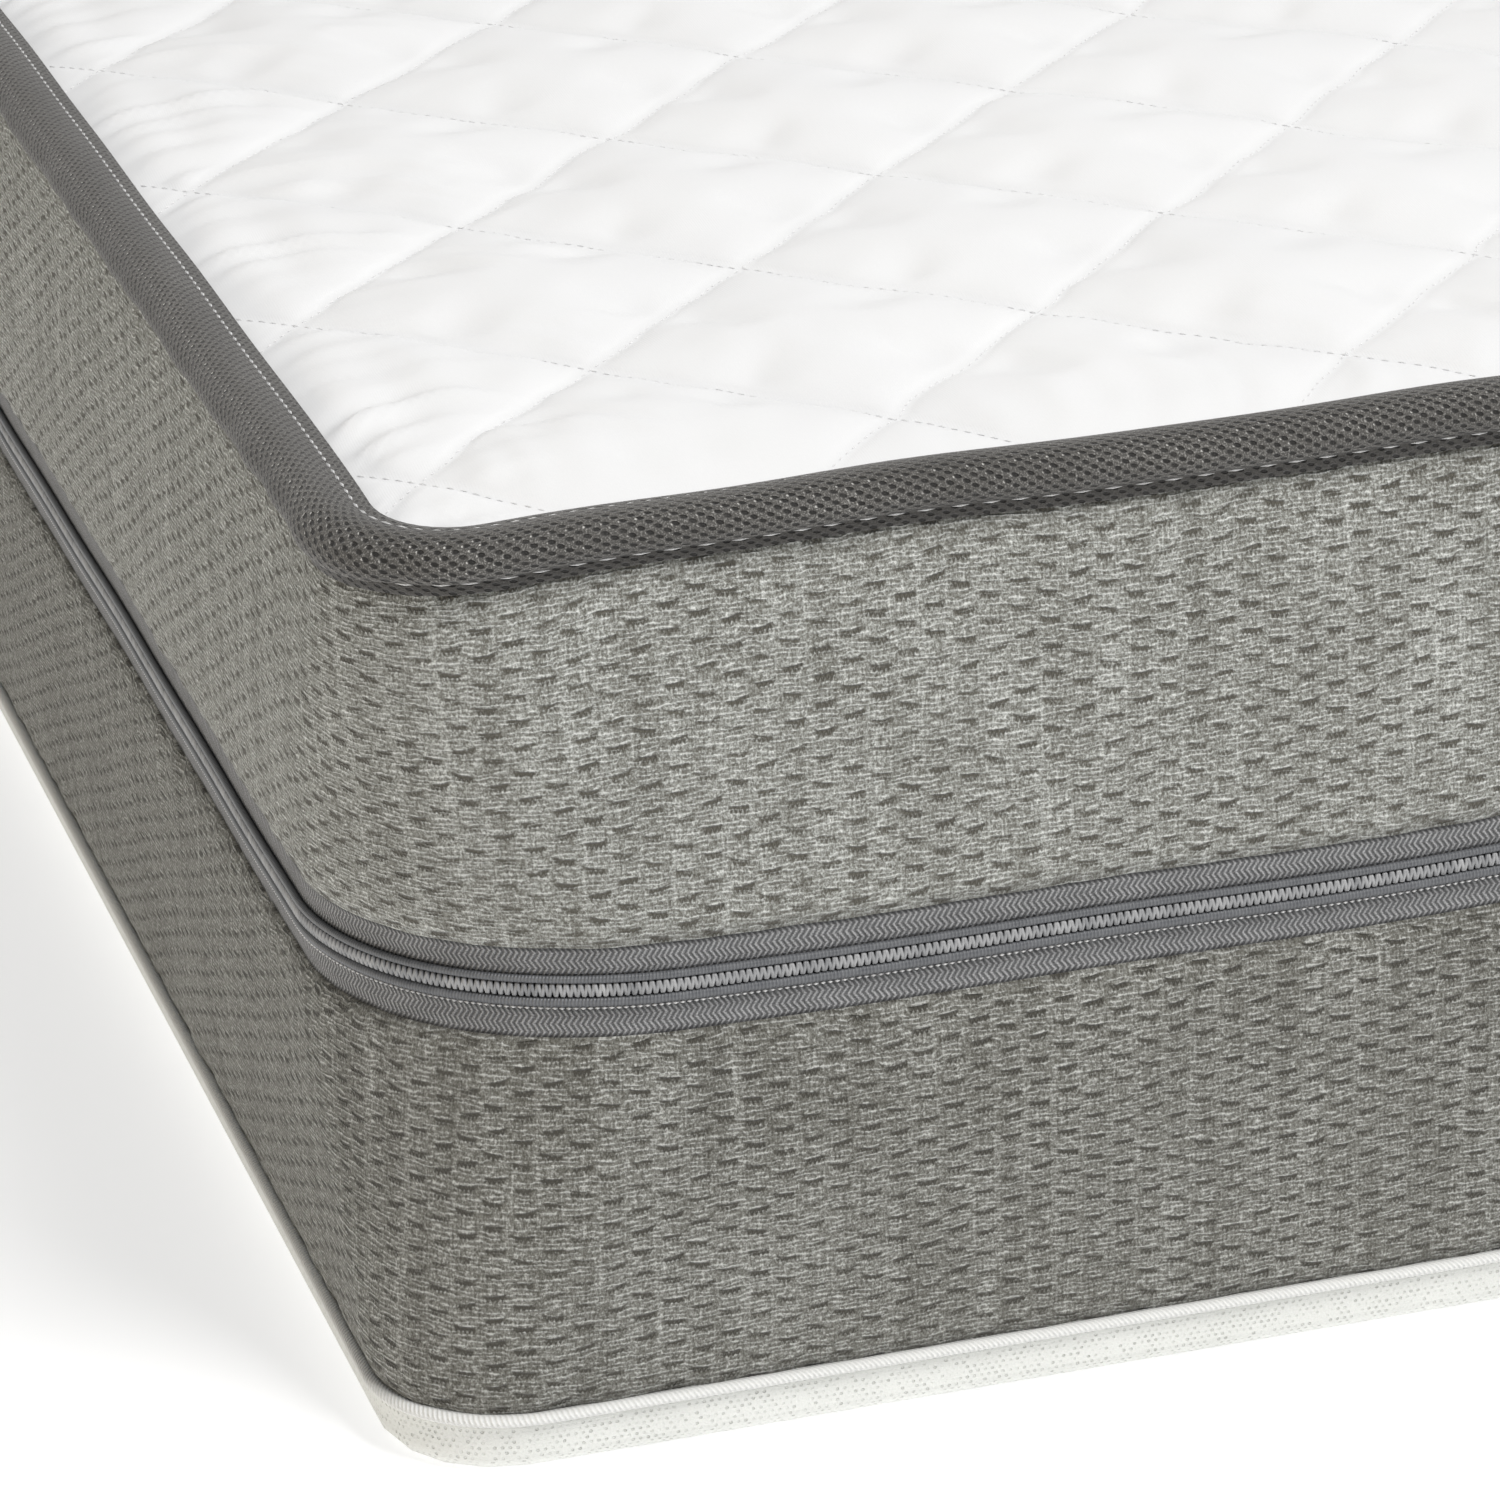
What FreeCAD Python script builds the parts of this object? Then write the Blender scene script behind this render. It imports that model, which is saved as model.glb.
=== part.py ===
import FreeCAD, Part
import math
import os

# Twin size memory foam mattress in a two-part cover that zips together all the way round.
# Millimetres. +Z is up, +Y runs from foot to head, and the origin is the centre of the bottom.

# Driving dimensions
WIDTH = 990.0
LENGTH = 1905.0
HEIGHT = 203.0

# Heights where one band of the cover meets the next
BAND_TOP = 11.2
HEM_TOP = 12.7
LOWER_KNIT_TOP = 92.4
ZIP_LEVEL = 102.0
UPPER_KNIT_BOTTOM = 111.8
BINDING_BOTTOM = 191.0
BINDING_TOP = 202.4

# The side is a little fuller at the zip, where its corners are also rounder:
# height, inset from the widest outline, corner radius
SIDE_PROFILE = (
    (0.0, 6.0, 24.0),
    (2.5, 3.2, 26.0),
    (BAND_TOP, 2.2, 30.0),
    (45.0, 0.9, 48.0),
    (ZIP_LEVEL, 0.0, 68.0),
    (150.0, 0.8, 50.0),
    (BINDING_BOTTOM, 2.5, 30.0),
    (HEIGHT, 2.5, 30.0),
)

# Cover fabrics
BOTTOM_SHEET = 2.0
KNIT = 1.5
BORDER_FOAM = 3.0
HEM_PROUD = 1.0
PANEL_FACE = 1.5
WADDING = 5.5
BACKING = 0.5
BINDING_DEPTH = 6.8
BINDING_PROUD = 2.0
BINDING_ROUND = 2.6
THREAD = 0.6

# Quilting: diamonds, with their width, their length and the place of one crossing
QUILT_ACROSS = 97.4
QUILT_ALONG = 109.6
QUILT_CROSSING = (18.0, -36.0)
QUILT_THREAD_DEPTH = 0.5

# Foam core
CORE_INSET = 7.5
CORE_RADIUS = 56.0
CORE_EDGE = 6.0
CORE_GAP = 0.3
SOCK = 0.8
BASE_FOAM = 101.6
COMFORT_FOAM = 44.5

# Zip
TAPE_INSET = 1.6
TAPE = 0.8
TAPE_HIDDEN = 6.0
TAPE_GAP = 2.2
COIL_HEIGHT = 3.35
COIL_DEPTH = 2.0
COIL_GAP = 0.3
ZIP_END_X = 335.0
ZIP_START_X = 385.0
TAPE_SLIT = 1.0
STOP_LENGTH = 4.0
STOP_CLEAR_OF_SLIDER = 1.5
STOP_PAST_COIL = 1.0

# Flap over the ends of the zip
GARAGE_LIFT = 1.0
GARAGE_SHEET = 0.8
GARAGE_FOOT = 3.0
GARAGE_BELOW_SEAM = 5.0
GARAGE_ABOVE_SEAM = -1.0
GARAGE_FROM_ZIP_END = 16.0
GARAGE_PAST_ZIP_START = 6.0
GARAGE_SUNK = 0.05

# Slider: two plates, a wedge between the tapes and a rail outside each coil
SLIDER_LENGTH = 14.0
SLIDER_MOUTH = 12.6
SLIDER_SHOULDER = 2.0
SLIDER_TAIL = 10.8
SLIDER_CORNER = 1.0
SLIDER_INNER_PLATE = 1.1
SLIDER_OUTER_PLATE = 1.4
SLIDER_TRACK_GAP = 0.3
WEDGE_FROM_MIDDLE = 2.0
WEDGE_LENGTH = 3.5
WEDGE_WIDTH = 1.6
RAIL_LENGTH = 7.0
RAIL_WIDTH = 1.0
RAIL_FROM_TAIL = 1.0

# Bail and pull tab
BAIL_HALF = 3.5
BAIL_WIDTH = 2.0
BAIL_WIRE = 1.0
BAIL_CLEAR = 2.1
BAIL_CORNER = 1.4
PULL_BAR = 0.7
PULL_BAR_CLEAR = 0.25
PULL_THICKNESS = 1.2
PULL_ARM_GAP = 0.3
PULL_ARM_WIDTH = 1.1
PULL_ARM_LENGTH = 4.9
PULL_BLADE_LENGTH = 20.0
PULL_BLADE_HALF = 3.4
PULL_CORNER = 2.0

# Blank label
LABEL_X = -200.0
LABEL_WIDTH = 50.0
LABEL_HANG = 9.4
LABEL = 0.5

# Longer than the mattress in every direction
FAR = 3000.0


def interpolate(z):
    """Inset and corner radius of the cover's side at height z."""
    for low, high in zip(SIDE_PROFILE, SIDE_PROFILE[1:]):
        if z <= high[0]:
            share = (z - low[0]) / (high[0] - low[0])
            inset = low[1] + share * (high[1] - low[1])
            radius = low[2] + share * (high[2] - low[2])
            return inset, radius
    return SIDE_PROFILE[-1][1:]


def rounded_outline(inset, radius, z):
    """Rectangle with round corners, inset from the widest outline."""
    a = WIDTH / 2 - inset
    b = LENGTH / 2 - inset
    diagonal = radius * (1 - math.sqrt(0.5))
    edges = []
    for sx, sy, turn in ((1, 1, 0), (-1, 1, 1), (-1, -1, 0), (1, -1, 1)):
        along_y = FreeCAD.Vector(sx * a, sy * (b - radius), z)
        along_x = FreeCAD.Vector(sx * (a - radius), sy * b, z)
        middle = FreeCAD.Vector(sx * (a - diagonal), sy * (b - diagonal), z)
        first, last = (along_x, along_y) if turn else (along_y, along_x)
        edges.append(Part.Arc(first, middle, last).toShape())
    ring = []
    for edge, following in zip(edges, edges[1:] + edges[:1]):
        ring.append(edge)
        ring.append(Part.makeLine(edge.lastVertex().Point, following.firstVertex().Point))
    return Part.Wire(ring)


def heights_between(low, high):
    """The two heights and every change in the side profile between them."""
    inner = [z for z, _, _ in SIDE_PROFILE if low < z < high]
    return [low] + inner + [high]


def side_solid(low, high, depth):
    """Everything inside the cover's side, at that depth below its outer face."""
    outlines = []
    for z in heights_between(low, high):
        inset, radius = interpolate(z)
        outlines.append(rounded_outline(inset + depth, radius - depth, z))
    return Part.makeLoft(outlines, True, True)


def side_ring(low, high, depth, thickness):
    """One layer of the cover's side: it starts at a depth below the outer face."""
    outer = side_solid(low, high, depth)
    return outer.cut(side_solid(low, high, depth + thickness))


def prism(inset, radius, low, high):
    """Straight block with round corners."""
    face = Part.Face(rounded_outline(inset, radius, low))
    return face.extrude(FreeCAD.Vector(0, 0, high - low))


def horizontal_edges(shape, z):
    """Edges of a shape that lie at one height."""
    return [e for e in shape.Edges if all(abs(v.Z - z) < 1e-6 for v in e.Vertexes)]


def runs_along(edge, direction):
    run = edge.lastVertex().Point - edge.firstVertex().Point
    return run.Length > 0 and abs(run.normalize().dot(direction)) > 0.99


def edges_along_y(shape):
    return [e for e in shape.Edges if runs_along(e, FreeCAD.Vector(0, 1, 0))]


def edges_along_z(shape):
    return [e for e in shape.Edges if runs_along(e, FreeCAD.Vector(0, 0, 1))]


def box(x, y, z, dx, dy, dz):
    return Part.makeBox(dx, dy, dz, FreeCAD.Vector(x, y, z))


def save(name, shape):
    shape = shape.removeSplitter()
    if not shape.isValid():
        raise RuntimeError(name + " is not a valid solid")
    shape.exportStep("parts/" + name + ".step")
    print(name, len(shape.Solids), "solid(s)", round(shape.Volume / 1000.0, 2), "cm3")


# The lower half of the cover

def bottom_panel():
    """Air mesh sheet under the mattress, turned up round its edge."""
    outer = side_solid(0, BAND_TOP, 0)
    return outer.cut(side_solid(BOTTOM_SHEET, BAND_TOP, BOTTOM_SHEET))


def bottom_hem():
    """Raised seam where the bottom panel is sewn to the knit."""
    return side_ring(BAND_TOP, HEM_TOP, -HEM_PROUD, KNIT + HEM_PROUD)


def lower_border():
    return side_ring(HEM_TOP, LOWER_KNIT_TOP, 0, KNIT)


def lower_border_foam():
    return side_ring(HEM_TOP, LOWER_KNIT_TOP - TAPE_HIDDEN, KNIT, BORDER_FOAM)


def blank_label():
    """Small folded label without any print, caught in the hem at the head end."""
    inset, _ = interpolate(HEM_TOP)
    face = LENGTH / 2 - inset
    return box(LABEL_X, face + HEM_PROUD, HEM_TOP - LABEL_HANG, LABEL_WIDTH, LABEL, LABEL_HANG)


# The foam core

def core_block(depth):
    """The foam block's outer shape, less a depth all round."""
    low = BOTTOM_SHEET + CORE_GAP + depth
    high = core_top() - depth
    block = prism(CORE_INSET + depth, CORE_RADIUS - depth, low, high)
    edges = horizontal_edges(block, low) + horizontal_edges(block, high)
    return block.makeFillet(CORE_EDGE - depth, edges)


def core_top():
    return HEIGHT - PANEL_FACE - WADDING - BACKING - CORE_GAP


def fire_sock():
    """Knitted inner sleeve that wraps the foam."""
    return core_block(0).cut(core_block(SOCK))


def foam_layer(low, high):
    slab = box(-FAR / 2, -FAR / 2, low, FAR, FAR, high - low)
    return core_block(SOCK).common(slab)


def foam_layers():
    """The three glued layers, from the base up."""
    bottom = BOTTOM_SHEET + CORE_GAP + SOCK
    base_top = bottom + BASE_FOAM
    comfort_top = base_top + COMFORT_FOAM
    top = core_top() - SOCK
    return {
        "base_foam": foam_layer(bottom, base_top),
        "comfort_foam": foam_layer(base_top, comfort_top),
        "memory_foam": foam_layer(comfort_top, top),
    }


# The upper half of the cover

def panel_inset():
    inset, _ = interpolate(BINDING_TOP)
    return inset + BINDING_DEPTH - BINDING_PROUD


def panel_slab(low, high):
    """One layer of the quilted panel, out to the binding's inner face."""
    _, radius = interpolate(BINDING_TOP)
    depth = BINDING_DEPTH - BINDING_PROUD
    return prism(panel_inset(), radius - depth, low, high)


def quilt_lattice():
    """Stitch lines of the quilting, as one lattice of thin strips."""
    bars = []
    low = HEIGHT - QUILT_THREAD_DEPTH
    slope = math.degrees(math.atan2(QUILT_ALONG, QUILT_ACROSS))
    pitch = QUILT_ACROSS * math.sin(math.radians(slope))
    steps = int((WIDTH + LENGTH) / math.sqrt(2) / pitch / 2) + 1
    for angle in (slope, -slope):
        for step in range(-steps, steps + 1):
            side = step * pitch - THREAD / 2
            bar = box(-LENGTH, side, low, 2 * LENGTH, THREAD, QUILT_THREAD_DEPTH)
            bar.rotate(FreeCAD.Vector(0, 0, 0), FreeCAD.Vector(0, 0, 1), angle)
            bar.translate(FreeCAD.Vector(QUILT_CROSSING[0], QUILT_CROSSING[1], 0))
            bars.append(bar)
    inside = panel_slab(low, HEIGHT)
    return inside.common(bars[0].fuse(bars[1:])).removeSplitter()


def top_panel(lattice):
    """White face fabric, grooved along the quilting."""
    return panel_slab(HEIGHT - PANEL_FACE, HEIGHT).cut(lattice)


def top_wadding():
    low = HEIGHT - PANEL_FACE - WADDING
    return panel_slab(low, low + WADDING)


def top_backing():
    low = HEIGHT - PANEL_FACE - WADDING - BACKING
    return panel_slab(low, low + BACKING)


def upper_border():
    return side_ring(UPPER_KNIT_BOTTOM, BINDING_BOTTOM, 0, KNIT)


def upper_border_foam():
    return side_ring(UPPER_KNIT_BOTTOM + TAPE_HIDDEN, BINDING_BOTTOM, KNIT, BORDER_FOAM)


def edge_binding():
    """Mesh tape rolled over the top edge."""
    inset, radius = interpolate(BINDING_TOP)
    roll = prism(inset - BINDING_PROUD, radius + BINDING_PROUD, BINDING_BOTTOM, BINDING_TOP)
    edges = horizontal_edges(roll, BINDING_BOTTOM) + horizontal_edges(roll, BINDING_TOP)
    roll = roll.makeFillet(BINDING_ROUND, edges)
    return roll.cut(panel_slab(ZIP_LEVEL, HEIGHT))


def binding_stitching():
    """Lockstitch along the inner edge of the binding, on the sleeping side."""
    inset, radius = interpolate(BINDING_TOP)
    depth = BINDING_DEPTH - BINDING_PROUD - 2 * THREAD
    outer = prism(inset + depth, radius - depth, BINDING_TOP, BINDING_TOP + THREAD)
    inner = prism(inset + depth + THREAD, radius - depth - THREAD, BINDING_TOP, BINDING_TOP + THREAD)
    return outer.cut(inner)


def border_stitching():
    """The same seam's thread where it shows on the knit, just below the roll."""
    low = BINDING_BOTTOM - 2 * THREAD
    return side_ring(low, low + THREAD, -THREAD, THREAD)


# The zip

def split_ring(ring, start_x, end_x):
    """Opens a ring at the head end, between two places across the width."""
    return ring.cut(box(start_x, 0, 0, end_x - start_x, FAR, HEIGHT))


def zip_tape(upper):
    low = ZIP_LEVEL + TAPE_GAP / 2 if upper else LOWER_KNIT_TOP - TAPE_HIDDEN
    high = UPPER_KNIT_BOTTOM + TAPE_HIDDEN if upper else ZIP_LEVEL - TAPE_GAP / 2
    middle = (ZIP_END_X + ZIP_START_X) / 2
    return split_ring(side_ring(low, high, TAPE_INSET, TAPE), middle, middle + TAPE_SLIT)


def zip_coil(upper):
    """Half of the coil chain, open between the zip's end and its start."""
    low = ZIP_LEVEL + COIL_GAP / 2 if upper else ZIP_LEVEL - COIL_GAP / 2 - COIL_HEIGHT
    ring = side_ring(low, low + COIL_HEIGHT, TAPE_INSET - COIL_DEPTH, COIL_DEPTH)
    return split_ring(ring, ZIP_END_X, ZIP_START_X)


def zip_stops(upper):
    """A clamp at each end of a coil, which keeps the slider on."""
    face = LENGTH / 2 - TAPE_INSET
    low = ZIP_LEVEL + TAPE_GAP / 2 if upper else ZIP_LEVEL - COIL_GAP / 2 - COIL_HEIGHT
    height = COIL_HEIGHT + COIL_GAP / 2 - TAPE_GAP / 2
    places = (
        ZIP_END_X + SLIDER_LENGTH / 2 + STOP_CLEAR_OF_SLIDER,
        ZIP_START_X - STOP_PAST_COIL - STOP_LENGTH,
    )
    return Part.makeCompound([box(x, face, low, STOP_LENGTH, COIL_DEPTH, height) for x in places])


def zip_garage():
    """Short fabric flap over the two ends of the zip, sewn to the lower knit."""
    face = LENGTH / 2
    low = LOWER_KNIT_TOP - GARAGE_BELOW_SEAM
    height = UPPER_KNIT_BOTTOM + GARAGE_ABOVE_SEAM - low
    start = ZIP_END_X + GARAGE_FROM_ZIP_END
    width = ZIP_START_X + GARAGE_PAST_ZIP_START - start
    flap = box(start, face + GARAGE_LIFT, low, width, GARAGE_SHEET, height)
    foot = box(start, face - GARAGE_SUNK, low, width, GARAGE_LIFT + GARAGE_SUNK, GARAGE_FOOT)
    return flap.fuse(foot).cut(side_solid(low, UPPER_KNIT_BOTTOM, 0))


def slider_plate(y_low, y_high):
    """One plate of the slider: wide at its mouth, narrow at its tail."""
    tail = ZIP_END_X - SLIDER_LENGTH / 2
    mouth = ZIP_END_X + SLIDER_LENGTH / 2
    half = (
        (tail, SLIDER_TAIL / 2),
        (ZIP_END_X, SLIDER_TAIL / 2),
        (mouth - SLIDER_SHOULDER, SLIDER_MOUTH / 2),
        (mouth, SLIDER_MOUTH / 2),
    )
    outline = [FreeCAD.Vector(x, y_low, ZIP_LEVEL - h) for x, h in half]
    outline += [FreeCAD.Vector(x, y_low, ZIP_LEVEL + h) for x, h in reversed(half)]
    face = Part.Face(Part.makePolygon(outline + outline[:1]))
    plate = face.extrude(FreeCAD.Vector(0, y_high - y_low, 0))
    return plate.makeFillet(SLIDER_CORNER, edges_along_y(plate))


def slider_faces():
    """The heights of the slider's plates over the head end's face: inner plate, then outer."""
    face = LENGTH / 2
    inner_top = face - TAPE_INSET - TAPE - SLIDER_TRACK_GAP
    outer_bottom = face - TAPE_INSET + COIL_DEPTH + SLIDER_TRACK_GAP
    return inner_top - SLIDER_INNER_PLATE, inner_top, outer_bottom, outer_bottom + SLIDER_OUTER_PLATE


def slider_body():
    """Two plates joined by a wedge between the tapes, with rails outside the coils."""
    inner_low, inner_high, outer_low, outer_high = slider_faces()
    tape_face = LENGTH / 2 - TAPE_INSET
    body = slider_plate(inner_low, inner_high).fuse(slider_plate(outer_low, outer_high))
    wedge_x = ZIP_END_X + WEDGE_FROM_MIDDLE
    wedge_z = ZIP_LEVEL - WEDGE_WIDTH / 2
    wedge = box(wedge_x, inner_high, wedge_z, WEDGE_LENGTH, outer_low - inner_high, WEDGE_WIDTH)
    body = body.fuse(wedge)
    rail_x = ZIP_END_X - SLIDER_LENGTH / 2 + RAIL_FROM_TAIL
    rail_low = tape_face + SLIDER_TRACK_GAP
    for z in (ZIP_LEVEL - SLIDER_TAIL / 2, ZIP_LEVEL + SLIDER_TAIL / 2 - RAIL_WIDTH):
        rail = box(rail_x, rail_low, z, RAIL_LENGTH, outer_low - rail_low, RAIL_WIDTH)
        body = body.fuse(rail)
    return body


def slider_bail():
    """Arch on the slider that holds the pull tab's bar."""
    _, _, _, top = slider_faces()
    low_z = ZIP_LEVEL - BAIL_WIDTH / 2
    outer = box(ZIP_END_X - BAIL_HALF, top, low_z, 2 * BAIL_HALF, BAIL_CLEAR + BAIL_WIRE, BAIL_WIDTH)
    lips = [e for e in edges_along_z(outer) if e.firstVertex().Y > top + BAIL_CLEAR]
    outer = outer.makeFillet(BAIL_CORNER, lips)
    inner_half = BAIL_HALF - BAIL_WIRE
    hole = box(ZIP_END_X - inner_half, top, low_z, 2 * inner_half, BAIL_CLEAR, BAIL_WIDTH)
    return outer.cut(hole)


def pull_tab():
    """Flat tab with a cross bar that turns under the bail. It lies along the closed zip."""
    _, _, _, top = slider_faces()
    axis_y = top + PULL_BAR_CLEAR + PULL_BAR
    arm_z = BAIL_WIDTH / 2 + PULL_ARM_GAP
    half_width = arm_z + PULL_ARM_WIDTH
    low_y = axis_y - PULL_THICKNESS / 2
    centre = FreeCAD.Vector(ZIP_END_X, axis_y, ZIP_LEVEL - half_width)
    tab = Part.makeCylinder(PULL_BAR, 2 * half_width, centre, FreeCAD.Vector(0, 0, 1))
    arm_x = ZIP_END_X - PULL_ARM_LENGTH
    for z in (ZIP_LEVEL - half_width, ZIP_LEVEL + arm_z):
        tab = tab.fuse(box(arm_x, low_y, z, PULL_ARM_LENGTH, PULL_THICKNESS, PULL_ARM_WIDTH))
    blade_x = arm_x - PULL_BLADE_LENGTH
    blade_z = ZIP_LEVEL - PULL_BLADE_HALF
    blade = box(blade_x, low_y, blade_z, PULL_BLADE_LENGTH, PULL_THICKNESS, 2 * PULL_BLADE_HALF)
    return tab.fuse(blade.makeFillet(PULL_CORNER, edges_along_y(blade)))


def main():
    save("bottom_panel", bottom_panel())
    save("bottom_hem", bottom_hem())
    save("lower_border", lower_border())
    save("lower_border_foam", lower_border_foam())
    save("blank_label", blank_label())
    save("fire_sock", fire_sock())
    for name, layer in foam_layers().items():
        save(name, layer)
    lattice = quilt_lattice()
    save("quilting_thread", lattice)
    save("top_panel", top_panel(lattice))
    save("top_wadding", top_wadding())
    save("top_backing", top_backing())
    save("upper_border", upper_border())
    save("upper_border_foam", upper_border_foam())
    save("edge_binding", edge_binding())
    save("binding_stitching", binding_stitching())
    save("border_stitching", border_stitching())
    for half, upper in (("lower", False), ("upper", True)):
        save("zip_" + half + "_tape", zip_tape(upper))
        save("zip_" + half + "_coil", zip_coil(upper))
        save("zip_" + half + "_stops", zip_stops(upper))
    save("zip_garage", zip_garage())
    save("slider_body", slider_body())
    save("slider_bail", slider_bail())
    save("pull_tab", pull_tab())


main()
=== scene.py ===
import math

import bpy
import numpy as np
from mathutils import Euler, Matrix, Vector


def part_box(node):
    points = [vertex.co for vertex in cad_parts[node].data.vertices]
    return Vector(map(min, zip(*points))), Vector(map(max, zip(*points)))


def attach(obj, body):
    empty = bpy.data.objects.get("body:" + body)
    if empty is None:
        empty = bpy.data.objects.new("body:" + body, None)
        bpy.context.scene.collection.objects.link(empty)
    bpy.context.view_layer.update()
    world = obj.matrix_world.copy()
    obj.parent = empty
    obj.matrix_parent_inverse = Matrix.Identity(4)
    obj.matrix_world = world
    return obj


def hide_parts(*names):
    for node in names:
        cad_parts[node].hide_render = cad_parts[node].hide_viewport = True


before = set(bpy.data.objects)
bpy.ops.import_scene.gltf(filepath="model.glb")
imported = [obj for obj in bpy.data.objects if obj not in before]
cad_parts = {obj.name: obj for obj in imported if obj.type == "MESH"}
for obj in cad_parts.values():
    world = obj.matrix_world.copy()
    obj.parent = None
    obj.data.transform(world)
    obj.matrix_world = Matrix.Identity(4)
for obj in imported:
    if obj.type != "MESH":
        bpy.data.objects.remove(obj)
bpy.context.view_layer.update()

# Lengths are in millimetres until a mesh is made. +Z is up and +Y runs from foot to head.
MM = 0.001


def top_of(node):
    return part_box(node)[1].z / MM


def bottom_of(node):
    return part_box(node)[0].z / MM


# Heights and sizes from the frame
TAPE_INSET = 1.6
tape_low, tape_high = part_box("zip_lower_tape")
WIDTH = (tape_high.x - tape_low.x) / MM + 2 * TAPE_INSET
LENGTH = (tape_high.y - tape_low.y) / MM + 2 * TAPE_INSET
HEIGHT = top_of("top_panel")
HEM_BOTTOM = bottom_of("bottom_hem")
HEM_TOP = top_of("bottom_hem")
LOWER_KNIT_TOP = top_of("lower_border")
UPPER_KNIT_BOTTOM = bottom_of("upper_border")
UPPER_KNIT_TOP = top_of("upper_border")
ZIP_LEVEL = (bottom_of("zip_upper_coil") + top_of("zip_lower_coil")) / 2
CORE_BOTTOM = bottom_of("fire_sock")
CORE_TOP = top_of("fire_sock")

# The side's shape: height, inset from the widest outline, corner radius
SIDE_PROFILE = (
    (0.0, 6.0, 24.0),
    (2.5, 3.2, 26.0),
    (HEM_BOTTOM, 2.2, 30.0),
    (45.0, 0.9, 48.0),
    (ZIP_LEVEL, 0.0, 68.0),
    (150.0, 0.8, 50.0),
    (UPPER_KNIT_TOP, 2.5, 30.0),
    (HEIGHT, 2.5, 30.0),
)
PROFILE_SMOOTHING = 8.0

# Fabric thicknesses
KNIT = 1.5
BORDER_FOAM = 3.0
BINDING_TAPE = 0.9
ZIP_TAPE = 0.8
BOTTOM_SHEET = 1.6
SOCK = 0.8
CORE_INSET = 7.5
CORE_RADIUS = 56.0
CORE_EDGE = 6.0
CUT_EDGE = 0.6

# Quilting: half the width and half the length of a diamond, and one crossing
QUILT_HALF = (48.7, 54.8)
QUILT_CROSSING = (18.0, -36.0)
QUILT_PITCH = 2 * QUILT_HALF[0] * QUILT_HALF[1] / math.hypot(*QUILT_HALF)
QUILT_REACH = math.ceil((WIDTH / QUILT_HALF[0] + LENGTH / QUILT_HALF[1]) / 4) + 1

# The corner patch is longer than the largest corner radius
PATCH = 80.0
PATCH_LENGTH = 2 * (PATCH - 50.0) + 50.0 * math.pi / 2
HALF_X = WIDTH / 2 - PATCH
HALF_Y = LENGTH / 2 - PATCH

# The outline's four sides in order: outward direction, travel direction, half length
SIDES = (
    ((0, 1), (-1, 0), HALF_X, HALF_Y + PATCH),
    ((-1, 0), (0, -1), HALF_Y, HALF_X + PATCH),
    ((0, -1), (1, 0), HALF_X, HALF_Y + PATCH),
    ((1, 0), (0, 1), HALF_Y, HALF_X + PATCH),
)
STARTS = np.cumsum([0.0] + [part for side in SIDES for part in (2 * side[2], PATCH_LENGTH)])
PERIMETER = STARTS[-1]


# Shape of the side

def smooth_profile():
    """The side profile on a one-millimetre table, with its kinks rounded above the hem."""
    heights = np.arange(-20.0, 240.0)
    columns = list(zip(*SIDE_PROFILE))
    table = [np.interp(heights, columns[0], column) for column in columns[1:]]
    reach = np.arange(-3 * PROFILE_SMOOTHING, 3 * PROFILE_SMOOTHING + 1)
    kernel = np.exp(-(reach / PROFILE_SMOOTHING) ** 2)
    smooth = [np.convolve(np.pad(row, len(reach) // 2, mode="edge"), kernel / kernel.sum(), "valid")
              for row in table]
    above_hem = np.clip((heights - 12.0) / 25.0, 0, 1)
    return heights, [row + above_hem * (soft - row) for row, soft in zip(table, smooth)]


PROFILE_HEIGHTS, PROFILE_TABLE = smooth_profile()


def profile_at(z):
    """Inset and corner radius of the side at a height."""
    return [np.interp(z, PROFILE_HEIGHTS, row) for row in PROFILE_TABLE]


def outline(s, inset, radius):
    """Points and outward directions at distance s round a rectangle with round corners."""
    s, inset, radius = np.broadcast_arrays(*(np.asarray(a, float) for a in (s, inset, radius)))
    s = np.mod(s, PERIMETER)
    part = np.clip(np.searchsorted(STARTS, s, side="right") - 1, 0, 7)
    local = s - STARTS[part]
    side = part // 2
    normal, travel = (np.array([row[i] for row in SIDES], float)[side] for i in (0, 1))
    half = np.array([row[2] for row in SIDES])[side]
    face = np.array([row[3] for row in SIDES])[side]
    reach = PATCH - inset
    stub = reach - radius
    run = local / PATCH_LENGTH * (2 * stub + radius * math.pi / 2)
    turn = np.clip((run - stub) / radius, 0, math.pi / 2)
    past = np.clip(run - stub - radius * math.pi / 2, 0, None)
    in_corner = part % 2 == 1
    along = np.where(in_corner, half + np.clip(run, 0, stub) + radius * np.sin(turn), local - half)
    across = np.where(in_corner, face - PATCH + stub + radius * np.cos(turn) - past, face - inset)
    turn = np.where(in_corner, turn, 0)
    points = normal * across[..., None] + travel * along[..., None]
    outward = normal * np.cos(turn)[..., None] + travel * np.sin(turn)[..., None]
    return points, outward


def place(s, z, out=0.0):
    """Points at distance s round the side, at height z, standing out from its face."""
    inset, radius = profile_at(z)
    points, _ = outline(s, inset - out, radius + out)
    return with_height(points, z)


def s_of_head(x):
    """Distance round the side of a place on the head end."""
    return HALF_X - x


# Soft unevenness, the same for every piece, so that layers stay nested

def waves(x, y, shortest, longest, seed, count=10):
    """Smooth noise over the plan, about -1 to 1."""
    rng = np.random.default_rng(seed)
    total = np.zeros(np.broadcast(x, y).shape)
    for length in np.geomspace(shortest, longest, count):
        angle, phase = rng.uniform(0, 2 * math.pi, 2)
        total += np.sin(2 * math.pi * (x * math.cos(angle) + y * math.sin(angle)) / length + phase)
    return total / math.sqrt(count)


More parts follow.
